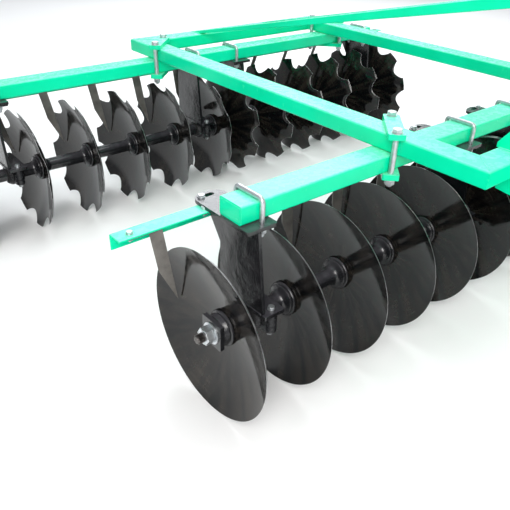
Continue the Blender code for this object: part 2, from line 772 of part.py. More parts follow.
def brace_mesh(name, sign):
    """A stay from the back of the top bracket down to the rear cross member."""
    top_y, foot_z = CHEEK_BACK_Y + GAP, FRAME_TOP + GAP
    high_z = TOP_PIN[1] + 0.020
    low_z = high_z - BRACE_HEIGHT
    front_y, back_y = FRAME_REAR_Y - TUBE_WIDTH + 0.010, FRAME_REAR_Y - 0.012
    top_x = (sign * BRACE_TOP_X, sign * (BRACE_TOP_X + BRACE_WIDTH))
    foot_x = (sign * BRACE_FOOT_X, sign * (BRACE_FOOT_X + BRACE_WIDTH))
    near = [(top_x[0], top_y, low_z), (top_x[1], top_y, low_z)]
    near += [(top_x[1], top_y, high_z), (top_x[0], top_y, high_z)]
    far = [(foot_x[0], front_y, foot_z), (foot_x[1], front_y, foot_z)]
    far += [(foot_x[1], back_y, foot_z), (foot_x[0], back_y, foot_z)]
    return six_sided(name, near, far)


def hitch():
    for side, sign in (("right", -1), ("left", 1)):
        at = Matrix.Translation((sign * LOWER_BALL_X, 0, 0))
        place(f"{side}_lower_hitch", lower_hitch_mesh(f"{side}_lower_hitch"), GREEN_PAINT, at)
        place(f"{side}_mast_upright", upright_mesh(f"{side}_mast_upright", sign), GREEN_PAINT)
        place(f"{side}_mast_brace", brace_mesh(f"{side}_mast_brace", sign), GREEN_PAINT)
    place("top_link_bracket", top_bracket_mesh("top_link_bracket"), GREEN_PAINT)


# ---------------------------------------------------------------- whole machine


def rows():
    gang_beam("front", 0.0, 0.0, FRONT_INNER_RIM)
    gang_beam("rear", REAR_ROW_SHIFT, ROW_DISTANCE, REAR_INNER_RIM)
    for side in ("right", "left"):
        gang(side, "front", 0.0, 0.0, FRONT_INNER_RIM, False)
        gang(side, "rear", REAR_ROW_SHIFT, ROW_DISTANCE, REAR_INNER_RIM, True)


def stand_on_origin():
    """Moves the whole machine so that the centre of its base is the origin."""
    bpy.context.view_layer.update()
    parts = [obj for obj in bpy.context.scene.objects if obj.type == "MESH"]
    corners = [obj.matrix_world @ Vector(corner) for obj in parts for corner in obj.bound_box]
    low = Vector([min(corner[axis] for corner in corners) for axis in range(3)])
    high = Vector([max(corner[axis] for corner in corners) for axis in range(3)])
    shift = Matrix.Translation((-(low.x + high.x) / 2, -(low.y + high.y) / 2, -low.z))
    for obj in parts:
        obj.matrix_world = shift @ obj.matrix_world
    print("origin shift", tuple(round(value, 5) for value in shift.translation))


def main():
    clear_scene()
    rows()
    frame()
    clamps()
    hitch()
    stand_on_origin()


main()
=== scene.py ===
"""Looks of a mounted disc harrow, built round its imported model.

Each sub-assembly is a class. Its fields are its sizes in metres, and its build method makes the
pieces and lets each of them ride on its body. A gang's pieces are made in the gang's own axes: x
runs from the first disc's rim plane towards the middle of the machine, y runs backwards, and z
runs up from the axle.
"""

import json
import logging
from dataclasses import dataclass
from enum import Enum
from math import ceil, cos, pi, radians, sin, sqrt, tau
from typing import Callable, Iterable, Sequence

import bmesh
import bpy
from mathutils import Matrix, Vector, noise


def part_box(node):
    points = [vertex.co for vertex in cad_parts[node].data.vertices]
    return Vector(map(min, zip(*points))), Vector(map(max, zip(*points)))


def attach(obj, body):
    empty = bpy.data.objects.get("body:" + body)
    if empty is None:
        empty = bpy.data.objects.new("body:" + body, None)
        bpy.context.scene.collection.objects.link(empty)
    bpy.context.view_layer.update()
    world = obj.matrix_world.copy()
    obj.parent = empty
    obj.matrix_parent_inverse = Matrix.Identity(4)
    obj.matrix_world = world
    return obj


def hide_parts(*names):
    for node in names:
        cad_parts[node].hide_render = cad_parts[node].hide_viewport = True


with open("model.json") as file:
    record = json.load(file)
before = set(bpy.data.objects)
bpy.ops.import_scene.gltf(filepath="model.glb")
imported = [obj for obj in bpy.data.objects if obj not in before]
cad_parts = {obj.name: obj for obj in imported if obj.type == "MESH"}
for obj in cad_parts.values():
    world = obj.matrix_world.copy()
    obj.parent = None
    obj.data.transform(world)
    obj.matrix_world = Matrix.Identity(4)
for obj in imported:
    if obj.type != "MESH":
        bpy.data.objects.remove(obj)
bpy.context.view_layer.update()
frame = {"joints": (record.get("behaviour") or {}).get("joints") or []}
LOG = logging.getLogger("disc_harrow")
X_AXIS, Y_AXIS, Z_AXIS = Vector((1, 0, 0)), Vector((0, 1, 0)), Vector((0, 0, 1))

# Where two faces meet at more than this, the line between them stays sharp.
SHARP_ANGLE = radians(35)
# The gap between two pieces that rest on each other.
SEAT = 0.0003
# Axes for an outline in y and z: its numbers run along Y and Z, and its thickness along X.
SIDE_VIEW = Matrix(((0, 0, 1, 0), (1, 0, 0, 0), (0, 1, 0, 0), (0, 0, 0, 1)))

Colour = tuple[float, float, float]
Flat = tuple[float, float]
Place = tuple[float, float, float]


# ---------------------------------------------------------------- shader maths


class Wire:
    """A node's output. Arithmetic on it adds Math nodes, so it is for numbers only."""

    def __init__(self, graph: "Graph", socket: bpy.types.NodeSocket) -> None:
        """Keeps the socket and the graph that it belongs to."""
        self.graph = graph
        self.socket = socket

    def __add__(self, other: "Number") -> "Wire":
        """self + other."""
        return self.graph.math("ADD", self, other)

    def __sub__(self, other: "Number") -> "Wire":
        """self - other."""
        return self.graph.math("SUBTRACT", self, other)

    def __mul__(self, other: "Number") -> "Wire":
        """self * other."""
        return self.graph.math("MULTIPLY", self, other)

    def __truediv__(self, other: "Number") -> "Wire":
        """self / other."""
        return self.graph.math("DIVIDE", self, other)

    def __pow__(self, other: "Number") -> "Wire":
        """self raised to other."""
        return self.graph.math("POWER", self, other)

    def __rsub__(self, other: float) -> "Wire":
        """other - self."""
        return self.graph.math("SUBTRACT", other, self)

    def __rtruediv__(self, other: float) -> "Wire":
        """other / self."""
        return self.graph.math("DIVIDE", other, self)

    __radd__ = __add__
    __rmul__ = __mul__


Number = float | Wire


class Graph:
    """The node tree of one material, with its Principled shader."""

    def __init__(self, name: str) -> None:
        """Makes the material.

        Args:
            name: the finish's name.
        """
        self.material = bpy.data.materials.new(name)
        self.material.use_nodes = True
        self.tree = self.material.node_tree
        self.shader = self.tree.nodes["Principled BSDF"]

    def node(self, kind: str, inputs: dict | None = None, **settings: object) -> bpy.types.Node:
        """Adds a shader node.

        Args:
            kind: the node's type after "ShaderNode".
            inputs: a value or a Wire for each socket, by the socket's name or number.
            settings: the node's own settings, set before its sockets.

        Returns:
            The node.
        """
        made = self.tree.nodes.new("ShaderNode" + kind)
        for key, value in settings.items():
            setattr(made, key, value)
        for key, value in (inputs or {}).items():
            self.feed(made.inputs[key], value)
        return made

    def feed(self, socket: bpy.types.NodeSocket, value: object) -> None:
        """Links a Wire to the socket, or sets the socket's own value.

        Args:
            socket: an input of a node.
            value: a Wire, or a value that the socket takes.
        """
        if isinstance(value, Wire):
            self.tree.links.new(value.socket, socket)
        else:
            socket.default_value = value

    def set(self, **sockets: object) -> None:
        """Feeds the shader's sockets, named with _ for a space."""
        for key, value in sockets.items():
            self.feed(self.shader.inputs[key.replace("_", " ")], value)

    def math(self, operation: str, first: Number, second: Number = 0.0) -> Wire:
        """The result of one Math node."""
        made = self.node("Math", {0: first, 1: second}, operation=operation)
        return Wire(self, made.outputs[0])

    def mix(self, share: Number, first: object, second: object) -> Wire:
        """A colour between two colours.

        Args:
            share: how much of the second colour there is.
            first: a colour or a Wire that carries one.
            second: the same.

        Returns:
            The mixed colour.
        """
        ends = [(*c, 1.0) if isinstance(c, tuple) else c for c in (first, second)]
        made = self.node("Mix", {0: share, 6: ends[0], 7: ends[1]}, data_type="RGBA")
        return Wire(self, made.outputs[2])

    def spread(self, value: Wire, low: float, high: float) -> Wire:
        """The value mapped so that low gives 0 and high gives 1, and held between them."""
        made = self.node("MapRange", {0: value, 1: low, 2: high})
        return Wire(self, made.outputs[0])

    def place(self) -> Wire:
        """The point in the piece's own axes, in metres."""
        return Wire(self, self.node("TexCoord").outputs["Object"])

    def parts(self, vector: Wire) -> list[Wire]:
        """The three numbers of a vector."""
        made = self.node("SeparateXYZ", {0: vector})
        return [Wire(self, output) for output in made.outputs]

    def joined(self, x: Number, y: Number, z: Number) -> Wire:
        """A vector from three numbers."""
        return Wire(self, self.node("CombineXYZ", {0: x, 1: y, 2: z}).outputs[0])

    def grain(self, scale: float, detail: float = 3.0, at: Wire | None = None) -> Wire:
        """Noise from 0 to 1.

        Args:
            scale: how many cells there are in a metre.
            detail: how many finer layers it has.
            at: the point that it is read at, or None for the piece's own.

        Returns:
            The noise.
        """
        sockets = {"Vector": at or self.place(), "Scale": scale, "Detail": detail}
        return Wire(self, self.node("TexNoise", sockets).outputs[0])

    def facing_up(self) -> Wire:
        """1 on a face that looks up, and 0 on a wall or underneath."""
        normal = Wire(self, self.node("NewGeometry").outputs["Normal"])
        return self.spread(self.parts(normal)[2], 0.2, 0.95)

    def bump(self, height: Wire, depth: float, strength: float = 1.0) -> None:
        """Raises the surface by up to depth metres."""
        made = self.node("Bump", {"Height": height, "Distance": depth, "Strength": strength})
        self.set(Normal=Wire(self, made.outputs[0]))


# ---------------------------------------------------------------- finishes


class Finish:
    """What every finish shares: its material is made once and then found again."""

    name: str

    def material(self) -> bpy.types.Material:
        """The finish's material.

        Returns:
            The material, which is made at the first call.
        """
        found = bpy.data.materials.get(self.name)
        if found:
            return found
        graph = Graph(self.name)
        self.dress(graph)
        return graph.material

    def dress(self, graph: Graph) -> None:
        """Fills in the material's nodes."""
        raise NotImplementedError


@dataclass(frozen=True)
class SprayPaint(Finish):
    """Gloss paint on rolled steel: orange peel, a slow drift of tone, and a painted pale sheen on
    faces that look up, which stands in for the bright sky in their gloss.
    """

    name: str
    deep: Colour
    pale: Colour
    # The pale colour that faces looking up are mixed towards, and how much: a painted sheen that
    # stands in for the bright sky reflected in their gloss.
    sky_sheen: Colour
    sky_sheen_share: float
    roughness: float
    peel_depth: float
    coat: float
    shine: float

    def dress(self, graph: Graph) -> None:
        """Fills in the material's nodes.

        Args:
            graph: the material's graph.
        """
        drift = graph.spread(graph.grain(4.0), 0.35, 0.68)
        smudge = graph.spread(graph.grain(38.0, 6.0), 0.48, 0.75)
        specks = graph.spread(graph.grain(420.0, 2.0), 0.60, 0.72)
        # Painted sheen: faces that look up are mixed towards the pale colour, mottled by noise, as
        # a stand-in for the sky light reflected in the gloss tops.
        painted_sheen = graph.facing_up() * (smudge * 0.35 + specks * 0.15 + 0.5) * self.sky_sheen_share
        paint = graph.mix(drift, self.deep, self.pale)
        graph.set(Base_Color=graph.mix(painted_sheen, paint, self.sky_sheen))
        graph.set(Roughness=smudge * 0.10 + painted_sheen * 0.2 + self.roughness)
        graph.set(Coat_Weight=self.coat, Coat_Roughness=0.10, Specular_IOR_Level=self.shine)
        graph.bump(graph.grain(260.0, 2.0) + graph.grain(22.0, 2.0) * 3.0, self.peel_depth)


@dataclass(frozen=True)
class DiscPaint(Finish):
    """Thin black varnish on a pressed disc, with handling marks that run round and outwards."""

    name: str
    black: Colour
    brown: Colour
    haze: Colour

    def dress(self, graph: Graph) -> None:
        """Fills in the material's nodes.

        Args:
            graph: the material's graph.
        """
        _, y, z = graph.parts(graph.place())
        reach = (y * y + z * z) ** 0.5 + 0.001
        round_y, round_z = y / reach, z / reach
        outward = graph.grain(1.0, 4.0, graph.joined(reach * 9.0, round_y * 7.0, round_z * 7.0))
        around = graph.grain(1.0, 4.0, graph.joined(reach * 130.0, round_y * 2.0, round_z * 2.0))
        cloud = graph.grain(9.0, 4.0)
        smear = graph.spread(outward * 0.6 + cloud * 0.4, 0.42, 0.66)
        turned = graph.spread(around, 0.50, 0.74)
        colour = graph.mix(smear * 0.85, self.black, self.brown)
        colour = graph.mix(turned * smear * 0.40, colour, self.haze)
        graph.set(Base_Color=colour, Roughness=smear * 0.11 + turned * 0.04 + 0.06)
        graph.set(Specular_IOR_Level=0.38)
        graph.bump(graph.grain(6.0, 2.0) * 3.0 + around * 0.15 + graph.grain(300.0) * 0.05, 0.0003)


@dataclass(frozen=True)
class GroundSteel(Finish):
    """The bright rim that is ground round a disc, with its grinding lines."""

    name: str = "ground_edge"

    def dress(self, graph: Graph) -> None:
        """Fills in the material's nodes.

        Args:
            graph: the material's graph.
        """
        _, y, z = graph.parts(graph.place())
        reach = (y * y + z * z) ** 0.5 + 0.001
        turn = graph.math("ARCTAN2", y, z)
        lines = graph.grain(1.0, 2.0, graph.joined(turn * 160.0, reach * 20.0, 0.0))
        stain = graph.spread(graph.grain(26.0, 5.0), 0.46, 0.72)
        steel = graph.mix(lines, (0.34, 0.34, 0.35), (0.66, 0.66, 0.67))
        graph.set(Base_Color=graph.mix(stain * 0.7, steel, (0.10, 0.085, 0.075)))
        graph.set(Metallic=1.0 - stain * 0.4, Roughness=lines * 0.14 + stain * 0.2 + 0.22)
        graph.bump(lines, 0.00012)


@dataclass(frozen=True)
class BareMetal(Finish):
    """Zinc plate, oiled bolt steel or satin rolled steel."""

    name: str
    bright: Colour
    dull: Colour
    metallic: float
    roughness: float
    pit_depth: float
    grain_size: float = 55.0

    def dress(self, graph: Graph) -> None:
        """Fills in the material's nodes.

        Args:
            graph: the material's graph.
        """
        bloom = graph.spread(graph.grain(self.grain_size, 5.0), 0.38, 0.68)
        spots = graph.spread(graph.grain(self.grain_size * 9, 2.0), 0.58, 0.72)
        graph.set(Base_Color=graph.mix(bloom * 0.7 + spots * 0.3, self.bright, self.dull))
        graph.set(Metallic=self.metallic, Roughness=bloom * 0.15 + spots * 0.08 + self.roughness)
        graph.bump(graph.grain(self.grain_size * 14, 3.0) + bloom, self.pit_depth)


@dataclass(frozen=True)
class PlainFloor(Finish):
    """A pale studio floor."""

    name: str = "studio_floor"

    def dress(self, graph: Graph) -> None:
        """Fills in the material's nodes.

        Args:
            graph: the material's graph.
        """
        tone = graph.spread(graph.grain(0.8, 2.0), 0.3, 0.7)
        graph.set(Base_Color=graph.mix(tone, (0.90, 0.90, 0.90), (0.93, 0.93, 0.93)))
        graph.set(Roughness=0.85, Specular_IOR_Level=0.2)


# Each paint's third colour and the share after it are the painted pale sheen on its tops, standing
# in for the bright sky in the gloss.
GREEN = SprayPaint(
    "turquoise_gloss", (0.001, 0.70, 0.36), (0.003, 0.79, 0.43), (0.46, 0.94, 0.82),
    0.60, 0.20, 0.00016, 0.03, 0.18,
)
BLACK = SprayPaint(
    "black_gloss_paint", (0.005, 0.006, 0.007), (0.012, 0.012, 0.014), (0.30, 0.29, 0.33),
    0.26, 0.13, 0.00070, 0.15, 0.55,
)
CAST = BareMetal(
    "cast_black", (0.008, 0.009, 0.011), (0.020, 0.020, 0.023), 0.0, 0.22, 0.0009, 70.0
)
DISC = DiscPaint(
    "disc_varnish", (0.003, 0.0035, 0.004), (0.026, 0.0215, 0.017), (0.062, 0.052, 0.041)
)
EDGE = GroundSteel()
ZINC = BareMetal("zinc_plate", (0.62, 0.65, 0.68), (0.42, 0.44, 0.44), 0.85, 0.33, 0.00012)
BOLT = BareMetal("oiled_bolt", (0.13, 0.12, 0.115), (0.055, 0.048, 0.044), 0.9, 0.26, 0.0001)
SATIN = BareMetal(
    "scraper_steel", (0.20, 0.19, 0.175), (0.115, 0.107, 0.098), 0.55, 0.34, 0.0001, 24.0
)
RUBBER = BareMetal(
    "bearing_seal", (0.020, 0.020, 0.020), (0.032, 0.031, 0.030), 0.0, 0.62, 0.0001
)


# ---------------------------------------------------------------- forms


def towards(point: Sequence[float], direction: Vector) -> Matrix:
    """Axes that stand at the point with their z along the direction."""
    turn = Z_AXIS.rotation_difference(direction).to_matrix().to_4x4()
    return Matrix.Translation(point) @ turn


def arc(centre: Flat, radius: float, start: float, end: float, steps: int) -> list[Flat]:
    """Points round part of a circle, with the angles in degrees and both ends included."""
    angles = [radians(start + (end - start) * i / steps) for i in range(steps + 1)]
    return [(centre[0] + radius * cos(a), centre[1] + radius * sin(a)) for a in angles]


def circle(centre: Flat, radius: float) -> list[Flat]:
    """A whole circle, with a point every ten degrees."""
    return arc(centre, radius, 0, 350, 35)


def rectangle(low: Flat, high: Flat) -> list[Flat]:
    """A rectangle's four corners, from its lowest and its highest one."""
    return [low, (high[0], low[1]), high, (low[0], high[1])]


def rounded(corners: Sequence[Flat], radius: float, steps: int = 4) -> list[Flat]:
    """An outline with each corner rounded.

    Args:
        corners: the outline's corners in order.
        radius: the corner radius, which is cut back where a side is too short for it.
        steps: how many straight pieces stand for each round corner.

    Returns:
        The new outline.
    """
    points: list[Flat] = []
    for i, corner in enumerate(corners):
        here = Vector(corner)
        back = Vector(corners[i - 1]) - here
        on = Vector(corners[(i + 1) % len(corners)]) - here
        half = back.angle(on) / 2
        reach = min(radius * cos(half) / sin(half), 0.45 * back.length, 0.45 * on.length)
        start, end = here + back.normalized() * reach, here + on.normalized() * reach
        for k in range(steps + 1):
            t = k / steps
            bent = start * (1 - t) ** 2 + here * 2 * t * (1 - t) + end * t**2
            points.append((bent.x, bent.y))
    return points


def slot(centre: Flat, half_length: float, radius: float, steps: int = 8) -> list[Flat]:
    """A slot with round ends along the first axis.

    Args:
        centre: the slot's middle.
        half_length: how far each end's centre is from it.
        radius: half the width.
        steps: how many straight pieces stand for each end.

    Returns:
        The outline.
    """
    x, y = centre
    right = arc((x + half_length, y), radius, -90, 90, steps)
    return right + arc((x - half_length, y), radius, 90, 270, steps)


def filleted(points: Sequence[Sequence[float]], radius: float, steps: int = 8) -> list[Vector]:
    """A path in space with each inner corner turned into a smooth bend.

    Args:
        points: the path's corners.
        radius: how far along each side a bend starts.
        steps: how many straight pieces stand for a bend.

    Returns:
        The path's points.
    """
    corners = [Vector(point) for point in points]
    path = [corners[0]]
    for before, here, after in zip(corners, corners[1:], corners[2:]):
        start = here + (before - here).normalized() * radius
        end = here + (after - here).normalized() * radius
        for k in range(steps + 1):
            t = k / steps
            path.append(start * (1 - t) ** 2 + here * 2 * t * (1 - t) + end * t**2)
    return [*path, corners[-1]]


def band(
    shape: bmesh.types.BMesh,
    first: Sequence[bmesh.types.BMVert],
    second: Sequence[bmesh.types.BMVert],
) -> list[bmesh.types.BMFace]:
    """Joins two rings of points with one face for each side."""
    on_first, on_second = (*first[1:], first[0]), (*second[1:], second[0])
    return [shape.faces.new(four) for four in zip(first, on_first, on_second, second)]


def break_edges(
    shape: bmesh.types.BMesh, edges: list[bmesh.types.BMEdge], width: float, segments: int
) -> None:
    """Rounds edges over a width, in this many steps.

    Args:
        shape: the shape.
        edges: its edges to round.
        width: how wide they become.
        segments: how many steps each has.
    """
    bmesh.ops.bevel(
        shape, geom=edges, offset=width, segments=segments, profile=0.5, affect="EDGES",
        clamp_overlap=True,
    )


def stand(mesh: bpy.types.Mesh, at: Matrix | None) -> None:
    """Moves a mesh into its axes. In mirrored axes its faces are turned outwards again.

    Args:
        mesh: the mesh.
        at: the axes, or None to leave it where it is.
    """
    if at is not None:
        mesh.transform(at)
        if at.determinant() < 0:
            mesh.flip_normals()


class Form:
    """A mesh in the making. Each shape is added with the axes that it stands in."""

    def __init__(self) -> None:
        """Starts empty."""
        self.bm = bmesh.new()

    def add(self, shape: bmesh.types.BMesh, at: Matrix | None = None, finish: int = 0) -> None:
        """Adds a closed shape and frees it.

        Args:
            shape: the shape.
            at: the axes that it stands in.
            finish: the number of the finish that its faces take.
        """
        bmesh.ops.recalc_face_normals(shape, faces=shape.faces)
        if shape.calc_volume(signed=True) < 0:
            bmesh.ops.reverse_faces(shape, faces=shape.faces)
        for face in shape.faces:
            face.material_index = finish
        mesh = bpy.data.meshes.new("shape")
        shape.to_mesh(mesh)
        shape.free()
        stand(mesh, at)
        self.bm.from_mesh(mesh)
        bpy.data.meshes.remove(mesh)

    def plate(
        self,
        outline: Sequence[Flat],
        low: float,
        high: float,
        at: Matrix | None = None,
        holes: Iterable[Sequence[Flat]] = (),
        edge: float = 0.001,
    ) -> None:
        """Adds a flat plate cut from sheet, with its edges broken.

        Args:
            outline: the plate's outline across z.
            low: where it starts along z.
            high: where it ends.
            at: the axes that it stands in.
            holes: the outlines of its holes.
            edge: how wide the broken edges are.
        """
        shape = bmesh.new()
        rims = []
        for loop in (outline, *holes):
            verts = [shape.verts.new((u, v, low)) for u, v in loop]
            ends = zip(verts, verts[1:] + verts[:1])
            rims += [shape.edges.new(pair) for pair in ends]
        bmesh.ops.triangle_fill(shape, use_beauty=True, edges=rims)
        raised = bmesh.ops.extrude_face_region(shape, geom=shape.faces[:])["geom"]
        verts = [item for item in raised if isinstance(item, bmesh.types.BMVert)]
        bmesh.ops.translate(shape, verts=verts, vec=(0, 0, high - low))
        bmesh.ops.recalc_face_normals(shape, faces=shape.faces)
        if edge > 0:
            rims = [e for e in shape.edges if e.is_manifold and e.calc_face_angle() > radians(60)]
            break_edges(shape, rims, edge, 2)
        self.add(shape, at)

    def turned(
        self, profile: Sequence[Flat], sides: int = 32, at: Matrix | None = None, finish: int = 0
    ) -> None:
        """Adds a shape turned about z.

        Args:
            profile: (z, radius) along the shape. The ends are closed flat.
            sides: how many sides it has.
            at: the axes that it stands in.
            finish: the number of the finish that its faces take.
        """
        self.sections([(z, lambda angle, r=r: r) for z, r in profile], sides, at, finish)

    def sections(
        self,
        stations: Sequence[tuple[float, Callable[[float], float]]],
        sides: int,
        at: Matrix | None = None,
        finish: int = 0,
    ) -> None:
        """Adds a shape along z whose outline changes.

        Args:
            stations: (z, the radius at each angle) along the shape.
            sides: how many sides it has.
            at: the axes that it stands in.
            finish: the number of the finish that its faces take.
        """
        shape = bmesh.new()
        angles = [tau * i / sides for i in range(sides)]
        rings = []
        for z, radius in stations:
            reach = [radius(angle) for angle in angles]
            points = [(r * cos(a), r * sin(a), z) for r, a in zip(reach, angles)]
            rings.append([shape.verts.new(point) for point in points])
        self.skin(shape, rings)
        self.add(shape, at, finish)

    @staticmethod
    def skin(shape: bmesh.types.BMesh, rings: Sequence[Sequence[bmesh.types.BMVert]]) -> None:
        """Closes the rings into one body with flat ends.

        Args:
            shape: the shape that the faces are added to.
            rings: its rings of points, in order.
        """
        for first, second in zip(rings, rings[1:]):
            band(shape, first, second)
        shape.faces.new(rings[0])
        shape.faces.new(reversed(rings[-1]))

    def rod(
        self, path: Sequence[Vector], radius: Callable[[float], float], sides: int = 12
    ) -> None:
        """Adds a round rod along a path.

        Args:
            path: the points that it follows.
            radius: the radius at each distance along the path.
            sides: how many sides it has.
        """
        shape = bmesh.new()
        angles = [tau * k / sides for k in range(sides)]
        rings = []
        along = 0.0
        side = (path[1] - path[0]).normalized().orthogonal()
        for i, point in enumerate(path):
            before = path[max(i - 1, 0)]
            after = path[min(i + 1, len(path) - 1)]
            run = (after - before).normalized()
            side = (side - run * side.dot(run)).normalized()
            up = run.cross(side)
            along += (point - before).length
            r = radius(along)
            spokes = [r * (cos(a) * side + sin(a) * up) for a in angles]
            rings.append([shape.verts.new(point + spoke) for spoke in spokes])
        self.skin(shape, rings)
        self.add(shape)

    def solid(self, rings: Sequence[Sequence[Place]], edge: float) -> None:
        """Adds a body through rings of corners, with its edges rounded.

        Args:
            rings: the corners of each section, in matching order.
            edge: how wide the rounded edges are.
        """
        shape = bmesh.new()
        self.skin(shape, [[shape.verts.new(point) for point in ring] for ring in rings])
        bmesh.ops.recalc_face_normals(shape, faces=shape.faces)
        rims = [e for e in shape.edges if e.calc_face_angle() > radians(12)]
        break_edges(shape, rims, edge, 3)
        self.add(shape)

    def piece(
        self, name: str, body: str, *finishes: Finish, at: Matrix | None = None
    ) -> bpy.types.Object:
        """Makes the piece and lets it ride.

        Args:
            name: the piece's name.
            body: the body that it moves with.
            finishes: what its faces are dressed in, by their numbers.
            at: the axes that the whole form stands in.

        Returns:
            The piece's object.
        """
        mesh = bpy.data.meshes.new(name)
        self.bm.to_mesh(mesh)
        self.bm.free()
        stand(mesh, at)
        mesh.shade_smooth()
        mesh.set_sharp_from_angle(angle=SHARP_ANGLE)
        return mount(name, mesh, body, finishes)


def shown(name: str, data: bpy.types.ID) -> bpy.types.Object:
    """Makes an object of a mesh, a light or a camera, and puts it in the scene.

    Args:
        name: the object's name.
        data: the mesh, light or camera.

    Returns:
        The object.
    """
    obj = bpy.data.objects.new(name, data)
    bpy.context.scene.collection.objects.link(obj)
    return obj


def mount(
    name: str, mesh: bpy.types.Mesh, body: str, finishes: Sequence[Finish]
) -> bpy.types.Object:
    """Makes an object of the mesh, dresses it and lets it ride on the body.

    Args:
        name: the piece's name.
        mesh: its mesh.
        body: the body that it moves with.
        finishes: its finishes, in the order of the faces' numbers.

    Returns:
        The piece's object.
    """
    for finish in finishes:
        mesh.materials.append(finish.material())
    obj = shown(name, mesh)
    flatten = obj.modifiers.new("flat faces", "WEIGHTED_NORMAL")
    flatten.keep_sharp, flatten.weight = True, 90
    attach(obj, body)
    LOG.info("%s rides on %s with %d faces", name, body, len(mesh.polygons))
    return obj


def stands_for(obj: bpy.types.Object, slot_name: str, *nodes: str) -> None:
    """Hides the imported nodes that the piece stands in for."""
    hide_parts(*nodes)


# ---------------------------------------------------------------- fasteners


@dataclass(frozen=True)
class Fastener:
    """A metric hexagon fastener with its washer."""

    radius: float
    across_flats: float
    head_height: float
    nut_height: float
    washer_radius: float
    washer_thickness: float = 0.0025
    pitch: float = 0.002

    def hexagon(self, form: Form, at: Matrix, height: float) -> None:
        """Adds a hexagon from z = 0 up, with its corners turned off at both ends.

        Args:
            form: the form that it is added to.
            at: the axes that it stands in.
            height: how high it is.
        """
        flat = self.across_flats / 2
        corner = flat / cos(pi / 6)
        chamfer = (corner - flat) * 0.55

        def outline(limit: float) -> Callable[[float], float]:
            """The hexagon's radius at each angle, held under the limit."""
            return lambda angle: min(flat / cos((angle + pi / 6) % (pi / 3) - pi / 6), limit)

        end = flat * 0.97
        levels = ((0.0, end), (chamfer, corner), (height - chamfer, corner), (height, end))
        form.sections([(z, outline(limit)) for z, limit in levels], 48, at)

    def washer(self, form: Form, at: Matrix) -> None:
        """Adds the washer from z = 0 up."""
        r, thick = self.washer_radius, self.washer_thickness
        form.turned([(0, r * 0.985), (0.0004, r), (thick - 0.0004, r), (thick, r * 0.98)], 40, at)

    def thread(self, form: Form, at: Matrix, low: float, high: float) -> None:
        """Adds threaded rod along z, with a chamfer at the far end.

        Args:
            form: the form that it is added to.
            at: the axes that it stands in.
            low: where it starts along z.
            high: where it ends.
        """
        crest, root = self.radius, self.radius - 0.6 * self.pitch
        profile = [(low, root)]
        turns = max(2, ceil((high - low) / self.pitch) - 1)
        step = (high - low) / (turns + 1)
        for i in range(turns):
            z = low + (i + 0.5) * step
            profile += [(z - 0.12 * step, crest), (z + 0.12 * step, crest), (z + 0.5 * step, root)]
        profile.append((high, root * 0.86))
        form.turned(profile, 24, at)

    def head(self, form: Form, at: Matrix) -> None:
        """Adds a washer with a bolt head on it."""
        self.washer(form, at)
        self.hexagon(form, at @ Matrix.Translation((0, 0, self.washer_thickness)), self.head_height)

    def nut(self, form: Form, at: Matrix, thread_beyond: float) -> None:
        """Adds a washer, a nut and the rod's end that stands out of it.

        Args:
            form: the form that it is added to.
            at: the axes that it stands in, with z = 0 at its seat.
            thread_beyond: how far the rod stands out of the nut.
        """
        self.washer(form, at)
        seat = self.washer_thickness
        self.hexagon(form, at @ Matrix.Translation((0, 0, seat)), self.nut_height)
        top = seat + self.nut_height
        self.thread(form, at, top - 0.001, top + thread_beyond)


M10 = Fastener(0.005, 0.017, 0.0064, 0.008, 0.0105, 0.002, 0.0015)
M12 = Fastener(0.006, 0.019, 0.0075, 0.010, 0.0120, 0.0025, 0.00175)
M16 = Fastener(0.008, 0.024, 0.010, 0.013, 0.0150, 0.003, 0.002)
M20 = Fastener(0.010, 0.030, 0.0125, 0.016, 0.0185, 0.003, 0.0025)


@dataclass(frozen=True)
class WeldBead:
    """A hand-laid weld: a round bead with a ripple for each step of the rod."""

    radius: float = 0.0042
    ripple: float = 0.0045
    spacing: float = 0.0011

    def lay(self, form: Form, start: Sequence[float], end: Sequence[float]) -> None:
        """Adds a bead from start to end.

        Args:
            form: the form that it is added to.
            start: the bead's first end.
            end: its other end.
        """
        first, last = Vector(start), Vector(end)
        run = last - first
        count = max(6, ceil(run.length / self.spacing))
        path = []
        for i in range(count + 1):
            point = first + run * i / count
            wander = noise.noise_vector(point * 70.0) * self.radius * 0.16
            path.append(point + wander)

        def swell(along: float) -> float:
            """The bead's radius at this distance, rippled and closed at both ends."""
            ends = min(1.0, 0.45 + min(along, max(run.length - along, 0.0)) / self.radius)
            return self.radius * ends * (0.90 + 0.10 * abs(sin(pi * along / self.ripple)))

        form.rod(path, swell, 10)


# ---------------------------------------------------------------- gang layout


class Row(Enum):
    """The two rows of gangs, and which discs each has."""

    FRONT = "front"
    REAR = "rear"

    @property
    def notched(self) -> bool:
        """Whether this row's discs are notched."""
        return self is Row.REAR


class Side(Enum):
    """The machine's two sides, with the way their gangs face."""

    RIGHT = "right"
    LEFT = "left"

    @property
    def facing(self) -> int:
        """1 where a disc bulges towards +X, and -1 where it bulges the other way."""
        return 1 if self is Side.RIGHT else -1


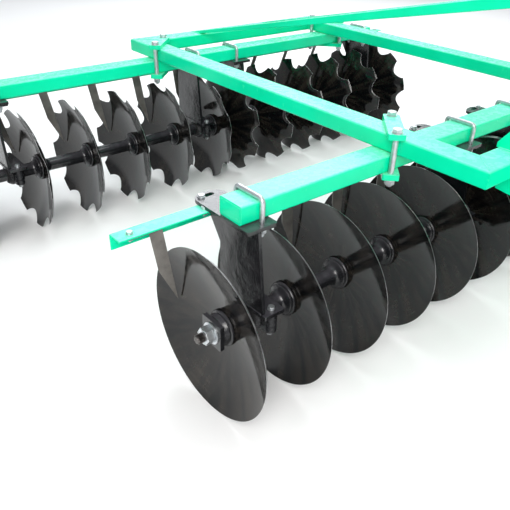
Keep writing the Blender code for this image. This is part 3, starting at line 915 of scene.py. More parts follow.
@dataclass(frozen=True)
class GangPlace:
    """Where one gang stands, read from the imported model."""

    row: Row
    side: Side
    spacing: float = 0.250
    discs: int = 6

    @property
    def label(self) -> str:
        """The gang's name, which its nodes start with."""
        return f"{self.row.value}_{self.side.value}"

    @property
    def body(self) -> str:
        """The body that turns."""
        return f"{self.label}_gang"

    def rim(self, number: int) -> float:
        """X of a disc's rim plane, counted from 1 at the outer end."""
        low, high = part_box(f"{self.label}_disc_{number}")
        return low.x if self.side.facing > 0 else high.x

    def centre(self) -> Vector:
        """The middle of the first disc's rim plane, on the axle's line."""
        joint = next(j for j in frame["joints"] if j["child"] == self.body)
        return Vector((self.rim(1), joint["pos_m"][1], joint["pos_m"][2]))

    def axes(self, x: float = 0.0) -> Matrix:
        """The gang's own axes, moved along the gang to x."""
        mirror = Matrix.Scale(self.side.facing, 4, X_AXIS)
        return Matrix.Translation(self.centre()) @ mirror @ Matrix.Translation((x, 0, 0))

    def beam_bottom(self) -> float:
        """Height of the gang beam's underside over the axle."""
        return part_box(f"{self.row.value}_gang_beam")[0].z - self.centre().z

    def beam_span(self) -> tuple[float, float, float]:
        """The gang beam's front and back face and its top, from the axle.

        Returns:
            The three distances: y, y and z.
        """
        low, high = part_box(f"{self.row.value}_gang_beam")
        centre = self.centre()
        return low.y - centre.y, high.y - centre.y, high.z - centre.z


GANGS = [GangPlace(row, side) for row in Row for side in Side]


# ---------------------------------------------------------------- discs


@dataclass(frozen=True)
class Disc:
    """A dished disc with a narrow bevel on its convex side, which is bright on a plain disc."""

    radius: float = 0.280
    depth: float = 0.065
    thickness: float = 0.005
    edge: float = 0.0013
    bevel: float = 0.006
    hub: float = 0.062
    hole: float = 0.024
    notches: int = 9
    notch_depth: float = 0.042
    notch_fullness: float = 0.7
    tooth_share: float = 0.40
    phases: tuple[float, ...] = (14.0, -9.0, 0.0, 6.0, -3.0, 11.0)
    rings: int = 12
    sides: int = 144
    tooth_steps: int = 5
    notch_steps: int = 20

    def dish(self, radius: float) -> float:
        """How far the concave face lies behind the rim plane at this radius.

        Args:
            radius: the distance from the axle's line.

        Returns:
            The distance along the axle.
        """
        ball = (self.radius**2 + self.depth**2) / (2 * self.depth)

        def rise(r: float) -> float:
            """Height of the sphere over the rim plane."""
            return sqrt(ball**2 - r**2) - sqrt(ball**2 - self.radius**2)

        return self.depth * rise(max(radius, self.hub)) / rise(self.hub)

    def outline(self, notched: bool, number: int) -> list[Flat]:
        """(angle, radius) round the disc.

        Args:
            notched: whether the rim has notches.
            number: the disc's number, which says how far it is turned.

        Returns:
            The points.
        """
        if not notched:
            return [(tau * i / self.sides, self.radius) for i in range(self.sides)]
        period = tau / self.notches
        tooth = period * self.tooth_share
        points = []
        for i in range(self.notches):
            start = radians(self.phases[number - 1]) - pi / 2 + i * period - tooth / 2
            for k in range(self.tooth_steps + 1):
                points.append((start + tooth * k / self.tooth_steps, self.radius))
            for k in range(1, self.notch_steps):
                share = k / self.notch_steps
                depth = self.notch_depth * sin(pi * share) ** self.notch_fullness
                points.append((start + tooth + (period - tooth) * share, self.radius - depth))
        return points

    def mesh(self, gang: GangPlace, number: int) -> bpy.types.Mesh:
        """Makes a disc's mesh.

        Args:
            gang: the gang that the disc belongs to.
            number: the disc's number, from 1 at the outer end.

        Returns:
            The mesh, with the rim plane at x = 0 and the ground faces numbered 1.
        """
        outline = self.outline(gang.row.notched, number)
        bm = bmesh.new()

        def ring(radii: Sequence[float], thick: float) -> list[bmesh.types.BMVert]:
            """One ring of points on the concave face, or behind it by thick.

            Args:
                radii: the ring's radius at each angle of the outline.
                thick: how far behind the concave face it lies.

            Returns:
                The ring's points.
            """
            made = []
            for (angle, _), r in zip(outline, radii):
                x = gang.side.facing * (self.dish(r) + thick)
                made.append(bm.verts.new((x, r * cos(angle), r * sin(angle))))
            return made

        rim_radii = [radius for _, radius in outline]
        levels = [[self.hole] * len(outline)]
        for i in range(self.rings + 1):
            share = i / self.rings
            levels.append([self.hub + (r - self.bevel - self.hub) * share for r in rim_radii])
        levels.append(rim_radii)
        front = [ring(radii, 0.0) for radii in levels]
        back = [ring(radii, self.thickness) for radii in levels[:-1]]
        back.append(ring(levels[-1], self.edge))
        bands = [*zip(front, front[1:]), (front[-1], back[-1])]
        bands += [*zip(back[::-1], back[-2::-1]), (back[0], front[0])]
        rim = len(front) - 1
        ground = (rim,) if gang.row.notched else (rim, rim + 1)
        for index, (first, second) in enumerate(bands):
            for face in band(bm, first, second):
                face.material_index = int(index in ground)
        bmesh.ops.recalc_face_normals(bm, faces=bm.faces)
        self.crease(bm, {*back[-2], *front[-1], *back[-1]})
        mesh = bpy.data.meshes.new("disc")
        bm.to_mesh(mesh)
        bm.free()
        return mesh

    @staticmethod
    def crease(bm: bmesh.types.BMesh, rims: set[bmesh.types.BMVert]) -> None:
        """Shades a disc smooth, and keeps the lines of its bevel sharp.

        Args:
            bm: the disc's mesh.
            rims: the points of the bevel's rings.
        """
        for face in bm.faces:
            face.smooth = True
        for edge in bm.edges:
            edge.smooth = True
            if edge.verts[0] in rims and edge.verts[1] in rims:
                finishes = {face.material_index for face in edge.link_faces}
                edge.smooth = len(finishes) == 1 and edge.calc_face_angle() <= SHARP_ANGLE

    def build(self, gang: GangPlace, number: int) -> None:
        """Makes one disc of a gang.

        Args:
            gang: the gang that the disc belongs to.
            number: its number, from 1 at the outer end.
        """
        mesh = self.mesh(gang, number)
        for finish in (DISC, EDGE):
            mesh.materials.append(finish.material())
        name = f"{gang.label}_disc_blade_{number}"
        obj = shown(name, mesh)
        centre = gang.centre()
        obj.location = (gang.rim(number), centre.y, centre.z)
        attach(obj, gang.body)
        stands_for(obj, "disc_black", f"{gang.label}_disc_{number}")
        LOG.info("%s rides on %s", name, gang.body)


# ---------------------------------------------------------------- axles


@dataclass(frozen=True)
class Axle:
    """A gang's spools, square end plates, end nuts and square bolt."""

    disc: Disc
    tube: float = 0.029
    bolt_side: float = 0.032
    plate_side: float = 0.092
    plate_corner: float = 0.006
    bolt_corner: float = 0.003
    nut: Fastener = Fastener(0.0155, 0.052, 0.020, 0.028, 0.036, 0.004, 0.003)
    outer_ring: float = 0.030
    outer_plate: float = 0.015
    inner_ring: float = 0.020
    inner_plate: float = 0.010
    bumper_radius: float = 0.056
    bumper_length: float = 0.0215
    thread_beyond_outer: float = 0.024
    thread_beyond_inner: float = 0.009
    bolt_play: float = 0.0002
    overlap: float = 0.002

    def flange(self) -> list[Flat]:
        """(distance, radius) of a spool's beaded end, from the disc to the tube.

        Returns:
            The points.
        """
        beads = [(0.0, 0.0560), (0.0012, 0.0585), (0.0035, 0.0596), (0.0070, 0.0594)]
        beads += [(0.0095, 0.0578), (0.0110, 0.0545), (0.0122, 0.0520), (0.0138, 0.0524)]
        beads += [(0.0158, 0.0540), (0.0180, 0.0536), (0.0200, 0.0512), (0.0222, 0.0468)]
        beads += [(0.0250, 0.0405), (0.0285, 0.0350), (0.0330, 0.0312), (0.0380, 0.0294)]
        return [*beads, (0.0440, self.tube)]

    def spool(self, form: Form, low: float, high: float) -> None:
        """Adds a spool between two discs.

        Args:
            form: the form that it is added to.
            low: where it starts along the gang.
            high: where it ends.
        """
        ends = self.flange()
        profile = [(low + z, r) for z, r in ends] + [(high - z, r) for z, r in reversed(ends)]
        form.turned(profile, 56, towards((0, 0, 0), X_AXIS))

    def end_ring(self, form: Form, at: Matrix, length: float) -> None:
        """Adds the beaded ring between the last disc and the square end plate.

        Args:
            form: the form that it is added to.
            at: the axes that it stands in.
            length: how long it is.
        """
        profile = [(0.0, 0.0560), (0.0012, 0.0588), (0.0040, 0.0598), (0.0075, 0.0592)]
        profile += [(0.0098, 0.0560), (0.0112, 0.0528), (0.0128, 0.0530), (0.0150, 0.0545)]
        profile += [(0.0175, 0.0535), (length, 0.0490)]
        form.turned(profile, 64, at)

    def end_plate(self, form: Form, at: Matrix, thickness: float) -> None:
        """Adds the square end plate, from z = 0 up.

        Args:
            form: the form that it is added to.
            at: the axes that it stands in.
            thickness: how thick it is.
        """
        half = self.plate_side / 2
        corners = rounded(rectangle((-half, -half), (half, half)), self.plate_corner)
        form.plate(corners, 0.0, thickness, at, edge=0.0015)

    def build(self, gang: GangPlace) -> None:
        """Makes one gang's axle.

        Args:
            gang: the gang.
        """
        face = self.disc.depth - SEAT
        behind = face + self.disc.thickness + 2 * SEAT
        last = (gang.discs - 1) * gang.spacing
        spools, nuts, bolt = Form(), Form(), Form()
        for i in range(gang.discs - 1):
            self.spool(spools, i * gang.spacing + behind, (i + 1) * gang.spacing + face)
        outer = (self.outer_ring, self.outer_plate, self.thread_beyond_outer)
        inner = (self.inner_ring, self.inner_plate, self.thread_beyond_inner)
        ends = [(face, -X_AXIS, *outer)]
        if gang.row.notched:
            at = towards((last + behind, 0, 0), X_AXIS)
            r, length = self.bumper_radius, self.bumper_length
            dome = [(0.0, r * 0.97), (0.002, r), (length * 0.55, r)]
            dome += [(length * 0.80, r * 0.94), (length * 0.94, r * 0.80), (length, r * 0.62)]
            spools.turned(dome, 64, at)
        else:
            ends.append((last + behind, X_AXIS, *inner))
        for x, way, ring, thick, thread in ends:
            self.end_ring(spools, towards((x, 0, 0), way), ring)
            self.end_plate(spools, towards((x + way.x * ring, 0, 0), way), thick)
            seat = towards((x + way.x * (ring + thick), 0, 0), way)
            self.nut.washer(nuts, seat)
            above = seat @ Matrix.Translation((0, 0, self.nut.washer_thickness))
            self.nut.hexagon(nuts, above, self.nut.nut_height)
            start = self.nut.washer_thickness + self.nut.nut_height
            self.nut.thread(bolt, seat, start - self.overlap, start + thread)
        half = self.bolt_side / 2 - self.bolt_play
        square = rounded(rectangle((-half, -half), (half, half)), self.bolt_corner, 2)
        for i in range(gang.discs):
            at = towards((i * gang.spacing + face - self.overlap, 0, 0), X_AXIS)
            bolt.plate(square, 0.0, behind - face + 2 * self.overlap, at, edge=0.0)
        axes = gang.axes()
        made = spools.piece(f"{gang.label}_spools", gang.body, BLACK, at=axes)
        stands_for(made, "black_gloss", f"{gang.label}_axle")
        nuts.piece(f"{gang.label}_end_nuts", gang.body, ZINC, at=axes)
        bolt.piece(f"{gang.label}_square_bolt", gang.body, BOLT, at=axes)


# ---------------------------------------------------------------- hangers


@dataclass(frozen=True)
class Hanger:
    """A hanger's plates with their bearing, U-bolt and the bolt in the top plate's slot."""

    housing_radius: float = 0.050
    housing_half: float = 0.035
    bore: float = 0.0306
    plate: float = 0.012
    plate_sink: float = 0.002
    top_plate: float = 0.0117
    top_outer: float = -0.088
    top_inner: float = 0.0225
    top_front: float = -0.060
    top_corner: float = 0.008
    shoulder: float = 0.185
    rounding: float = 0.040
    slot_centre: Flat = (-0.045, 0.200)
    slot_half: float = 0.021
    slot_radius: float = 0.009
    bar_front: float = 0.127
    foot: float = 0.050
    foot_above: float = 0.006
    foot_below: float = 0.0065
    foot_front: float = -0.098
    foot_back: float = 0.112
    strip: Flat = (-0.005, 0.020)
    strip_front: float = -0.052
    strip_height: float = 0.008
    cap_bottom: float = -0.027
    cap_top: float = -0.004
    ears: Flat = (-0.0025, 0.0435)
    ear_radius: float = 0.0195
    bolt_y: float = 0.073
    u_bolt_x: float = -0.0125
    u_bolt_play: float = 0.0015
    u_bolt_leg: float = 0.031
    u_bolt_nut: float = 0.0085
    u_bolt_bend: float = 0.016

    def standard(self, top: float, flared: bool) -> list[Flat]:
        """The upright plate's outline in y and z, from the foot to the top plate.

        Args:
            top: height of the top plate's underside over the axle.
            flared: whether it has the wing behind, as at the outer end.

        Returns:
            The outline.
        """
        step = top - self.top_plate
        outline = [(-0.085, self.foot), (-0.070, 0.172), (-0.052, top + 0.001)]
        outline.append((self.bar_front - 0.001, top + 0.001))
        if flared:
            outline += [(self.bar_front - 0.001, step), (0.176, step), (0.174, step - 0.034)]
        return outline + [(0.126, step - 0.102), (0.126, 0.113), (0.108, self.foot)]

    def plates(self, form: Form, top: float, flared: bool) -> None:
        """Adds the black steel plates and the welds between them.

        Args:
            form: the form that they are added to.
            top: height of the top plate's underside over the axle.
            flared: whether the upright plate has the wing behind.
        """
        low_x = self.plate_sink - self.housing_half - self.plate
        outline = rounded(self.standard(top, flared), 0.012, 3)
        form.plate(outline, low_x, low_x + self.plate, SIDE_VIEW, edge=0.0012)
        foot = rectangle((low_x - 0.001, self.foot_front), (self.housing_half, self.foot_back))
        foot_low, foot_high = self.foot - self.foot_below, self.foot + self.foot_above
        form.plate(rounded(foot, 0.007), foot_low, foot_high, edge=0.0012)
        left, right = self.top_outer, self.top_inner
        centre, reach = (left + right) / 2, (right - left) / 2
        rear = [
            (centre + reach * cos(a), self.shoulder + self.rounding * sin(a))
            for a in (pi * k / 16 for k in range(17))
        ]
        corner = self.top_corner
        front = arc((left + corner, self.top_front + corner), corner, 180, 270, 4)
        front += arc((right - corner, self.top_front + corner), corner, -90, 0, 4)
        gap = slot(self.slot_centre, self.slot_half, self.slot_radius)
        form.plate(front + rear, top, top + self.top_plate, holes=[gap], edge=0.0010)
        strip = rectangle((self.strip[0], self.strip_front), (self.strip[1], self.foot_back))
        form.plate(rounded(strip, 0.004), top - self.strip_height, top - SEAT, edge=0.0010)
        bead = WeldBead(radius=0.0040)
        for x in (low_x, low_x + self.plate):
            bead.lay(form, (x, -0.050, top), (x, self.bar_front - 0.006, top))
            bead.lay(form, (x, -0.080, foot_high), (x, 0.103, foot_high))

    def bearing(self, form: Form) -> None:
        """Adds the cast housing with its two ears, cap joint and seals.

        Args:
            form: the form that it is added to.
        """
        half, r = self.housing_half, self.housing_radius
        along = towards((0, 0, 0), X_AXIS)
        body = [(0.001 - half, r * 0.80), (0.003 - half, r * 0.86), (0.007 - half, r * 0.90)]
        body += [(0.012 - half, r * 0.97), (0.016 - half, r), (half - 0.016, r)]
        body += [(half - 0.012, r * 0.97), (half - 0.007, r * 0.90), (half - 0.003, r * 0.86)]
        form.turned([*body, (half - 0.001, r * 0.80)], 56, along)
        for low, high in ((self.cap_bottom, self.cap_top), self.ears):
            ends = arc((0.0, self.bolt_y), self.ear_radius, 0, 180, 12)
            ends += arc((0.0, -self.bolt_y), self.ear_radius, 180, 360, 12)
            form.plate(ends, low, high, edge=0.003)
        grease = towards((0.008, -0.012, 0.0), Vector((0.0, -0.5, -1.0)).normalized())
        nipple = [(r - 0.004, 0.006), (r + 0.003, 0.006), (r + 0.004, 0.0045), (r + 0.010, 0.003)]
        form.turned(nipple, 12, grease)
        lip = [(0.0, 0.0100), (0.0012, 0.0096), (0.002, 0.006), (0.003, 0.0012)]
        seal = [(z, self.bore + proud) for z, proud in lip]
        for way in (-1, 1):
            at = towards((way * (half - 0.001), 0, 0), X_AXIS * way)
            form.turned(seal, 48, at, finish=1)

    def u_bolt(self, form: Form, gang: GangPlace, top: float) -> None:
        """Adds the U-bolt over the beam with its nuts under the top plate.

        Args:
            form: the form that it is added to.
            gang: the gang whose beam it holds.
            top: height of the top plate's underside over the axle.
        """
        front, back, beam_top = gang.beam_span()
        reach = self.u_bolt_play + M16.radius
        high = beam_top + reach
        low = top - self.u_bolt_leg
        x, near, far = self.u_bolt_x, front - reach, back + reach
        corners = [(x, near, low), (x, near, high), (x, far, high), (x, far, low)]
        form.rod(filleted(corners, self.u_bolt_bend, 8), lambda along: M16.radius, 20)
        for y in (near, far):
            nut_at = towards((x, y, top - self.u_bolt_nut), -Z_AXIS)
            M16.nut(form, nut_at, thread_beyond=0.012)

    def build(self, gang: GangPlace, where: str, x: float) -> None:
        """Makes one hanger.

        Args:
            gang: the gang that hangs from it.
            where: "outer" or "inner".
            x: the bearing's middle, in the gang's axes.
        """
        top = gang.beam_bottom() - SEAT - self.top_plate
        plates, cast, bolts = Form(), Form(), Form()
        self.plates(plates, top, where == "outer")
        self.bearing(cast)
        self.u_bolt(bolts, gang, top)
        for y in (-self.bolt_y, self.bolt_y):
            M12.head(bolts, towards((0, y, self.foot + self.foot_above), Z_AXIS))
            M12.nut(bolts, towards((0, y, self.cap_bottom), -Z_AXIS), thread_beyond=0.004)
        slot_x = self.slot_centre[0] - self.slot_half + 0.004
        slot_y = self.slot_centre[1] - 0.002
        M12.head(bolts, towards((slot_x, slot_y, top + self.top_plate), Z_AXIS))
        axes = gang.axes(x)
        name = f"{gang.label}_{where}"
        made = plates.piece(f"{name}_hanger_plates", "frame", BLACK, at=axes)
        stands_for(made, "black_gloss", f"{name}_hanger")
        cast.piece(f"{name}_bearing", "frame", CAST, RUBBER, at=axes)
        bolts.piece(f"{name}_hanger_bolts", "frame", ZINC, at=axes)


# ---------------------------------------------------------------- scrapers


@dataclass(frozen=True)
class ScraperBar:
    """The angle bar behind a gang beam, with a scraper for each disc."""

    disc: Disc
    wall: float = 0.005
    front: float = 0.127
    back: float = 0.186
    drop: float = 0.052
    beyond: float = 0.186
    seat_under_beam: float = 0.0123
    width: float = 0.040
    thickness: float = 0.0045
    foot_start: float = 0.160
    bend: float = 0.050
    tip_y: float = 0.190
    tip_z: float = 0.012
    clearance: float = 0.0107
    point_share: float = 0.54
    turn: float = 20.0
    bolt_from_start: float = 0.018
    foot_from_front: float = 0.004

    def blade(self, form: Form, rim: float, under: float) -> None:
        """Adds one scraper: a foot under the angle, then a turned and pointed blade.

        Args:
            form: the form that it is added to.
            rim: x of its disc's rim plane, in the gang's axes.
            under: height of the angle's flat underside.
        """
        near_y = self.front + self.foot_from_front
        foot_end = rim - self.bend
        foot = rectangle((rim - self.foot_start, near_y), (foot_end, near_y + self.width))
        form.plate(rounded(foot, 0.005, 3), under - self.thickness, under - SEAT, edge=0.0006)
        start = Vector((foot_end, near_y, under - 0.0005))
        tip_x = rim + self.disc.dish(self.tip_y) - self.clearance
        run = Vector((tip_x, self.tip_y, self.tip_z)) - start
        turn = radians(self.turn)
        across = Vector((-cos(turn), sin(turn), 0))
        inward = run.cross(across).normalized()
        down = run.normalized()
        side = inward.cross(down).normalized()
        length = run.length
        reach = self.width * abs(across.dot(side))
        slant = self.width * across.dot(down)
        sign = 1 if across.dot(side) > 0 else -1
        outline = [(0.0, 0.0), (length, 0.0), (length * self.point_share + slant, sign * reach)]
        outline.append((slant, sign * reach))
        at = Matrix.Translation(start) @ Matrix((down, side, inward)).transposed().to_4x4()
        form.plate(outline, 0.0, self.thickness, at, edge=0.0007)

    def build(self, gang: GangPlace) -> None:
        """Makes one gang's bar, scrapers and bolts.

        Args:
            gang: the gang.
        """
        top = gang.beam_bottom() - self.seat_under_beam
        low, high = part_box(f"{gang.label}_scraper_bar")
        length = high.x - low.x - self.beyond
        profile = [(self.front, top), (self.front, top - self.wall)]
        inner = (self.back - self.wall, top - self.wall)
        profile += arc((inner[0] - 0.004, inner[1] - 0.004), 0.004, 90, 0, 4)
        profile += [(inner[0], top - self.drop), (self.back, top - self.drop)]
        profile += arc((self.back - 0.008, top - 0.008), 0.008, 0, 90, 6)
        bar, blades, bolts = Form(), Form(), Form()
        bar.plate(profile, -self.beyond, length, SIDE_VIEW, edge=0.0006)
        for i in range(gang.discs):
            rim = i * gang.spacing
            self.blade(blades, rim, top - self.wall)
            x = rim - self.foot_start + self.bolt_from_start
            y = self.front + self.foot_from_front + self.width / 2
            M10.head(bolts, towards((x, y, top), Z_AXIS))
            nut_at = towards((x, y, top - self.wall - self.thickness), -Z_AXIS)
            M10.nut(bolts, nut_at, thread_beyond=0.005)
        axes = gang.axes()
        made = bar.piece(f"{gang.label}_scraper_angle", "frame", GREEN, at=axes)
        stands_for(made, "turquoise_paint", f"{gang.label}_scraper_bar")
        blades.piece(f"{gang.label}_scrapers", "frame", SATIN, at=axes)
        bolts.piece(f"{gang.label}_scraper_bolts", "frame", ZINC, at=axes)


# ---------------------------------------------------------------- tubes and frame


@dataclass(frozen=True)
class Tube:
    """A rectangular steel tube with rounded long edges and closed ends."""

    corner: float = 0.0085
    steps: int = 5
    cap_inset: float = 0.006
    cap_proud: float = 0.0009
    cap_depth: float = 0.002

    def straight(self, name: str) -> None:
        """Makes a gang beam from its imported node, along X, with a welded cap in each end.

        Args:
            name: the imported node's name.
        """
        low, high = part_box(name)
        form = Form()
        outline = rounded(rectangle((low.y, low.z), (high.y, high.z)), self.corner, self.steps)
        form.plate(outline, low.x, high.x, SIDE_VIEW, edge=0.0012)
        inset = self.cap_inset
        cap = rectangle((low.y + inset, low.z + inset), (high.y - inset, high.z - inset))
        for x, way in ((low.x, -1), (high.x, 1)):
            ends = sorted((x - way * self.cap_depth, x + way * self.cap_proud))
            form.plate(rounded(cap, 0.004, 3), *ends, SIDE_VIEW, edge=0.0006)
        made = form.piece(f"{name}_tube", "frame", GREEN)
        stands_for(made, "turquoise_paint", name)

    def mitred(self, name: str, along: Vector, width: float, inward: int) -> None:
        """Makes a frame member whose ends are cut at 45 degrees.

        Args:
            name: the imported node's name.
            along: the world axis that it runs along.
            width: the tube's width.
            inward: the way to the frame's middle, across the member.
        """
        low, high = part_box(name)
        if along is X_AXIS:
            outer, inner = (low.y, high.y) if inward > 0 else (high.y, low.y)
            plan = [(low.x, outer), (high.x, outer)]
            plan += [(high.x - width, inner), (low.x + width, inner)]
        else:
            outer, inner = (low.x, high.x) if inward > 0 else (high.x, low.x)
            plan = [(outer, low.y), (outer, high.y)]
            plan += [(inner, high.y - width), (inner, low.y + width)]
        shape = bmesh.new()
        rings = [[shape.verts.new((x, y, z)) for x, y in plan] for z in (low.z, high.z)]
        Form.skin(shape, rings)
        bmesh.ops.recalc_face_normals(shape, faces=shape.faces)
        long_edges = []
        for edge in shape.edges:
            run = (edge.verts[1].co - edge.verts[0].co).normalized()
            if abs(run.dot(along)) > 0.99:
                long_edges.append(edge)
        break_edges(shape, long_edges, self.corner, self.steps)
        form = Form()
        form.add(shape)
        made = form.piece(f"{name}_tube", "frame", GREEN)
        stands_for(made, "turquoise_paint", name)


@dataclass(frozen=True)
class MainFrame:
    """The rectangle of tubes that everything hangs from, with its corner welds."""

    tube: Tube
    width: float = 0.100

    def build(self) -> None:
        """Makes the four members, the two gang beams and the welds."""
        for row in Row:
            self.tube.straight(f"{row.value}_gang_beam")
        for side in Side:
            self.tube.mitred(f"{side.value}_side_member", Y_AXIS, self.width, side.facing)
        self.tube.mitred("front_cross_member", X_AXIS, self.width, 1)
        self.tube.mitred("rear_cross_member", X_AXIS, self.width, -1)
        self.welds()

    def welds(self) -> None:
        """Lays the beads round the four mitres."""
        low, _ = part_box("front_cross_member")
        _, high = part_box("rear_cross_member")
        form, bead = Form(), WeldBead(radius=0.0036)
        sink, corner, corner_sink = 0.0012, self.tube.corner, 0.003
        for x, way_x in ((low.x, 1), (high.x, -1)):
            for y, way_y in ((low.y, 1), (high.y, -1)):
                outer = Vector((x + way_x * corner_sink, y + way_y * corner_sink, 0))
                inner = Vector((x + way_x * self.width, y + way_y * self.width, 0))
                near = outer + Vector((way_x, way_y, 0)) * corner * 0.8
                far = inner - Vector((way_x, way_y, 0)) * corner * 0.8
                for z in (low.z + sink, high.z - sink):
                    bead.lay(form, (near.x, near.y, z), (far.x, far.y, z))
                for at in (outer, inner):
                    ends = (low.z + corner * 0.7, high.z - corner * 0.7)
                    bead.lay(form, (at.x, at.y, ends[0]), (at.x, at.y, ends[1]))
        form.piece("frame_corner_welds", "frame", GREEN)


@dataclass(frozen=True)
class Clamp:
    """Two diagonal plates and two long bolts that hold a beam to a side member."""

    width: float = 0.058
    thickness: float = 0.020
    offset: float = 0.062
    end: float = 0.017
    rounding: float = 0.008

    def build(self, row: Row, side: Side) -> None:
        """Makes one clamp.

        Args:
            row: the row of its beam.
            side: the side of its member.
        """
        name = f"{row.value}_{side.value}_clamp"
        beam_low, beam_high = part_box(f"{row.value}_gang_beam")
        member_low, member_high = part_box(f"{side.value}_side_member")
        centre = ((member_low.x + member_high.x) / 2, (beam_low.y + beam_high.y) / 2, 0.0)
        at = Matrix.Translation(centre) @ Matrix.Scale(side.facing, 4, X_AXIS)
        reach = self.offset * sqrt(2) + self.end
        half = self.width / 2
        turn = Matrix.Rotation(pi / 4, 4, "Z")
        outline = rounded(rectangle((-reach, -half), (reach, half)), self.rounding)
        upper, lower = member_high.z + SEAT, beam_low.z - SEAT
        plates, bolts = Form(), Form()
        plates.plate(outline, upper, upper + self.thickness, turn, edge=0.0015)
        plates.plate(outline, lower - self.thickness, lower, turn, edge=0.0015)
        for sign in (-1, 1):
            x = y = sign * self.offset
            shank = [(lower - self.thickness, M20.radius), (upper + self.thickness, M20.radius)]
            bolts.turned(shank, 32, Matrix.Translation((x, y, 0)))
            M20.head(bolts, Matrix.Translation((x, y, upper + self.thickness)))
            nut_at = towards((x, y, lower - self.thickness), -Z_AXIS)
            M20.nut(bolts, nut_at, thread_beyond=0.008)
        made = plates.piece(f"{name}_plates", "frame", GREEN, at=at)
        stands_for(made, "turquoise_paint", name)
        bolts.piece(f"{name}_bolts", "frame", ZINC, at=at)


# ---------------------------------------------------------------- three-point hitch


@dataclass(frozen=True)
class LowerHitch:
    """The two ears that take a lower link, with their web, bushes and welds."""

    ear: float = 0.010
    gap: float = 0.045
    pin_under_member: float = 0.1003
    pin_from_front: float = 0.045
    pin_radius: float = 0.0145
    bush_radius: float = 0.026
    bush_proud: float = 0.004

    def outline(self, low: Vector, high: Vector, pin: Flat) -> list[Flat]:
        """An ear's outline in y and z.

        Args:
            low: the front cross member's lowest corner.
            high: its highest corner.
            pin: the pin's y and z.

        Returns:
            The outline.
        """
        front, behind, top, under = low.y, high.y + 0.002, high.z, low.z
        pin_front, pin_back = pin[0] - self.pin_from_front, pin[0] + self.pin_from_front
        pin_low, face = pin[1] - 0.050, front - SEAT
        return [
            (behind, top + SEAT), (behind, top + 0.017), (front + 0.016, top + 0.135),
            (pin[0] + 0.015, top + 0.135), (pin_front, pin[1] + 0.115), (pin_front, pin_low),
            (pin_back, pin_low), (front + 0.004, under - 0.080), (front + 0.071, under - 0.072),
            (front + 0.071, under - SEAT), (face, under - SEAT), (face, top + SEAT),
        ]

    def welds(self, form: Form, x: float, low: Vector, high: Vector) -> None:
        """Lays the beads along one ear, over, before and under the cross member.

        Args:
            form: the form that they are added to.
            x: the ear's outer face.
            low: the cross member's lowest corner.
            high: its highest corner.
        """
        bead, face = WeldBead(radius=0.0038), low.y - SEAT
        bead.lay(form, (x, low.y + 0.006, high.z), (x, high.y - 0.006, high.z))
        bead.lay(form, (x, face, low.z + 0.008), (x, face, high.z - 0.006))
        bead.lay(form, (x, low.y + 0.006, low.z), (x, low.y + 0.066, low.z))

    def build(self, side: Side) -> None:
        """Makes one lower hitch point.

        Args:
            side: the side that it is on.
        """
        name = f"{side.value}_lower_hitch"
        low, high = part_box("front_cross_member")
        node_low, node_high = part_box(name)
        middle = (node_low.x + node_high.x) / 2
        pin = (node_low.y + self.pin_from_front, low.z - self.pin_under_member)
        outline = self.outline(low, high, pin)
        hole, ring = circle(pin, self.pin_radius), circle(pin, self.bush_radius)
        form, near = Form(), self.gap / 2
        for way in (-1, 1):
            outside = middle + way * (near + self.ear)
            span = sorted((middle + way * near, outside))
            form.plate(outline, *span, SIDE_VIEW, holes=[hole], edge=0.0012)
            bush = sorted((outside, outside + way * self.bush_proud))
            form.plate(ring, *bush, SIDE_VIEW, holes=[hole], edge=0.0010)
            self.welds(form, outside, low, high)
        face, reach = low.y - SEAT, near + 0.001
        web = rectangle((middle - reach, face - self.ear), (middle + reach, face))
        form.plate(web, low.z - 0.065, high.z + 0.035, edge=0.0008)
        made = form.piece(f"{name}_ears", "frame", GREEN)
        stands_for(made, "turquoise_paint", name)


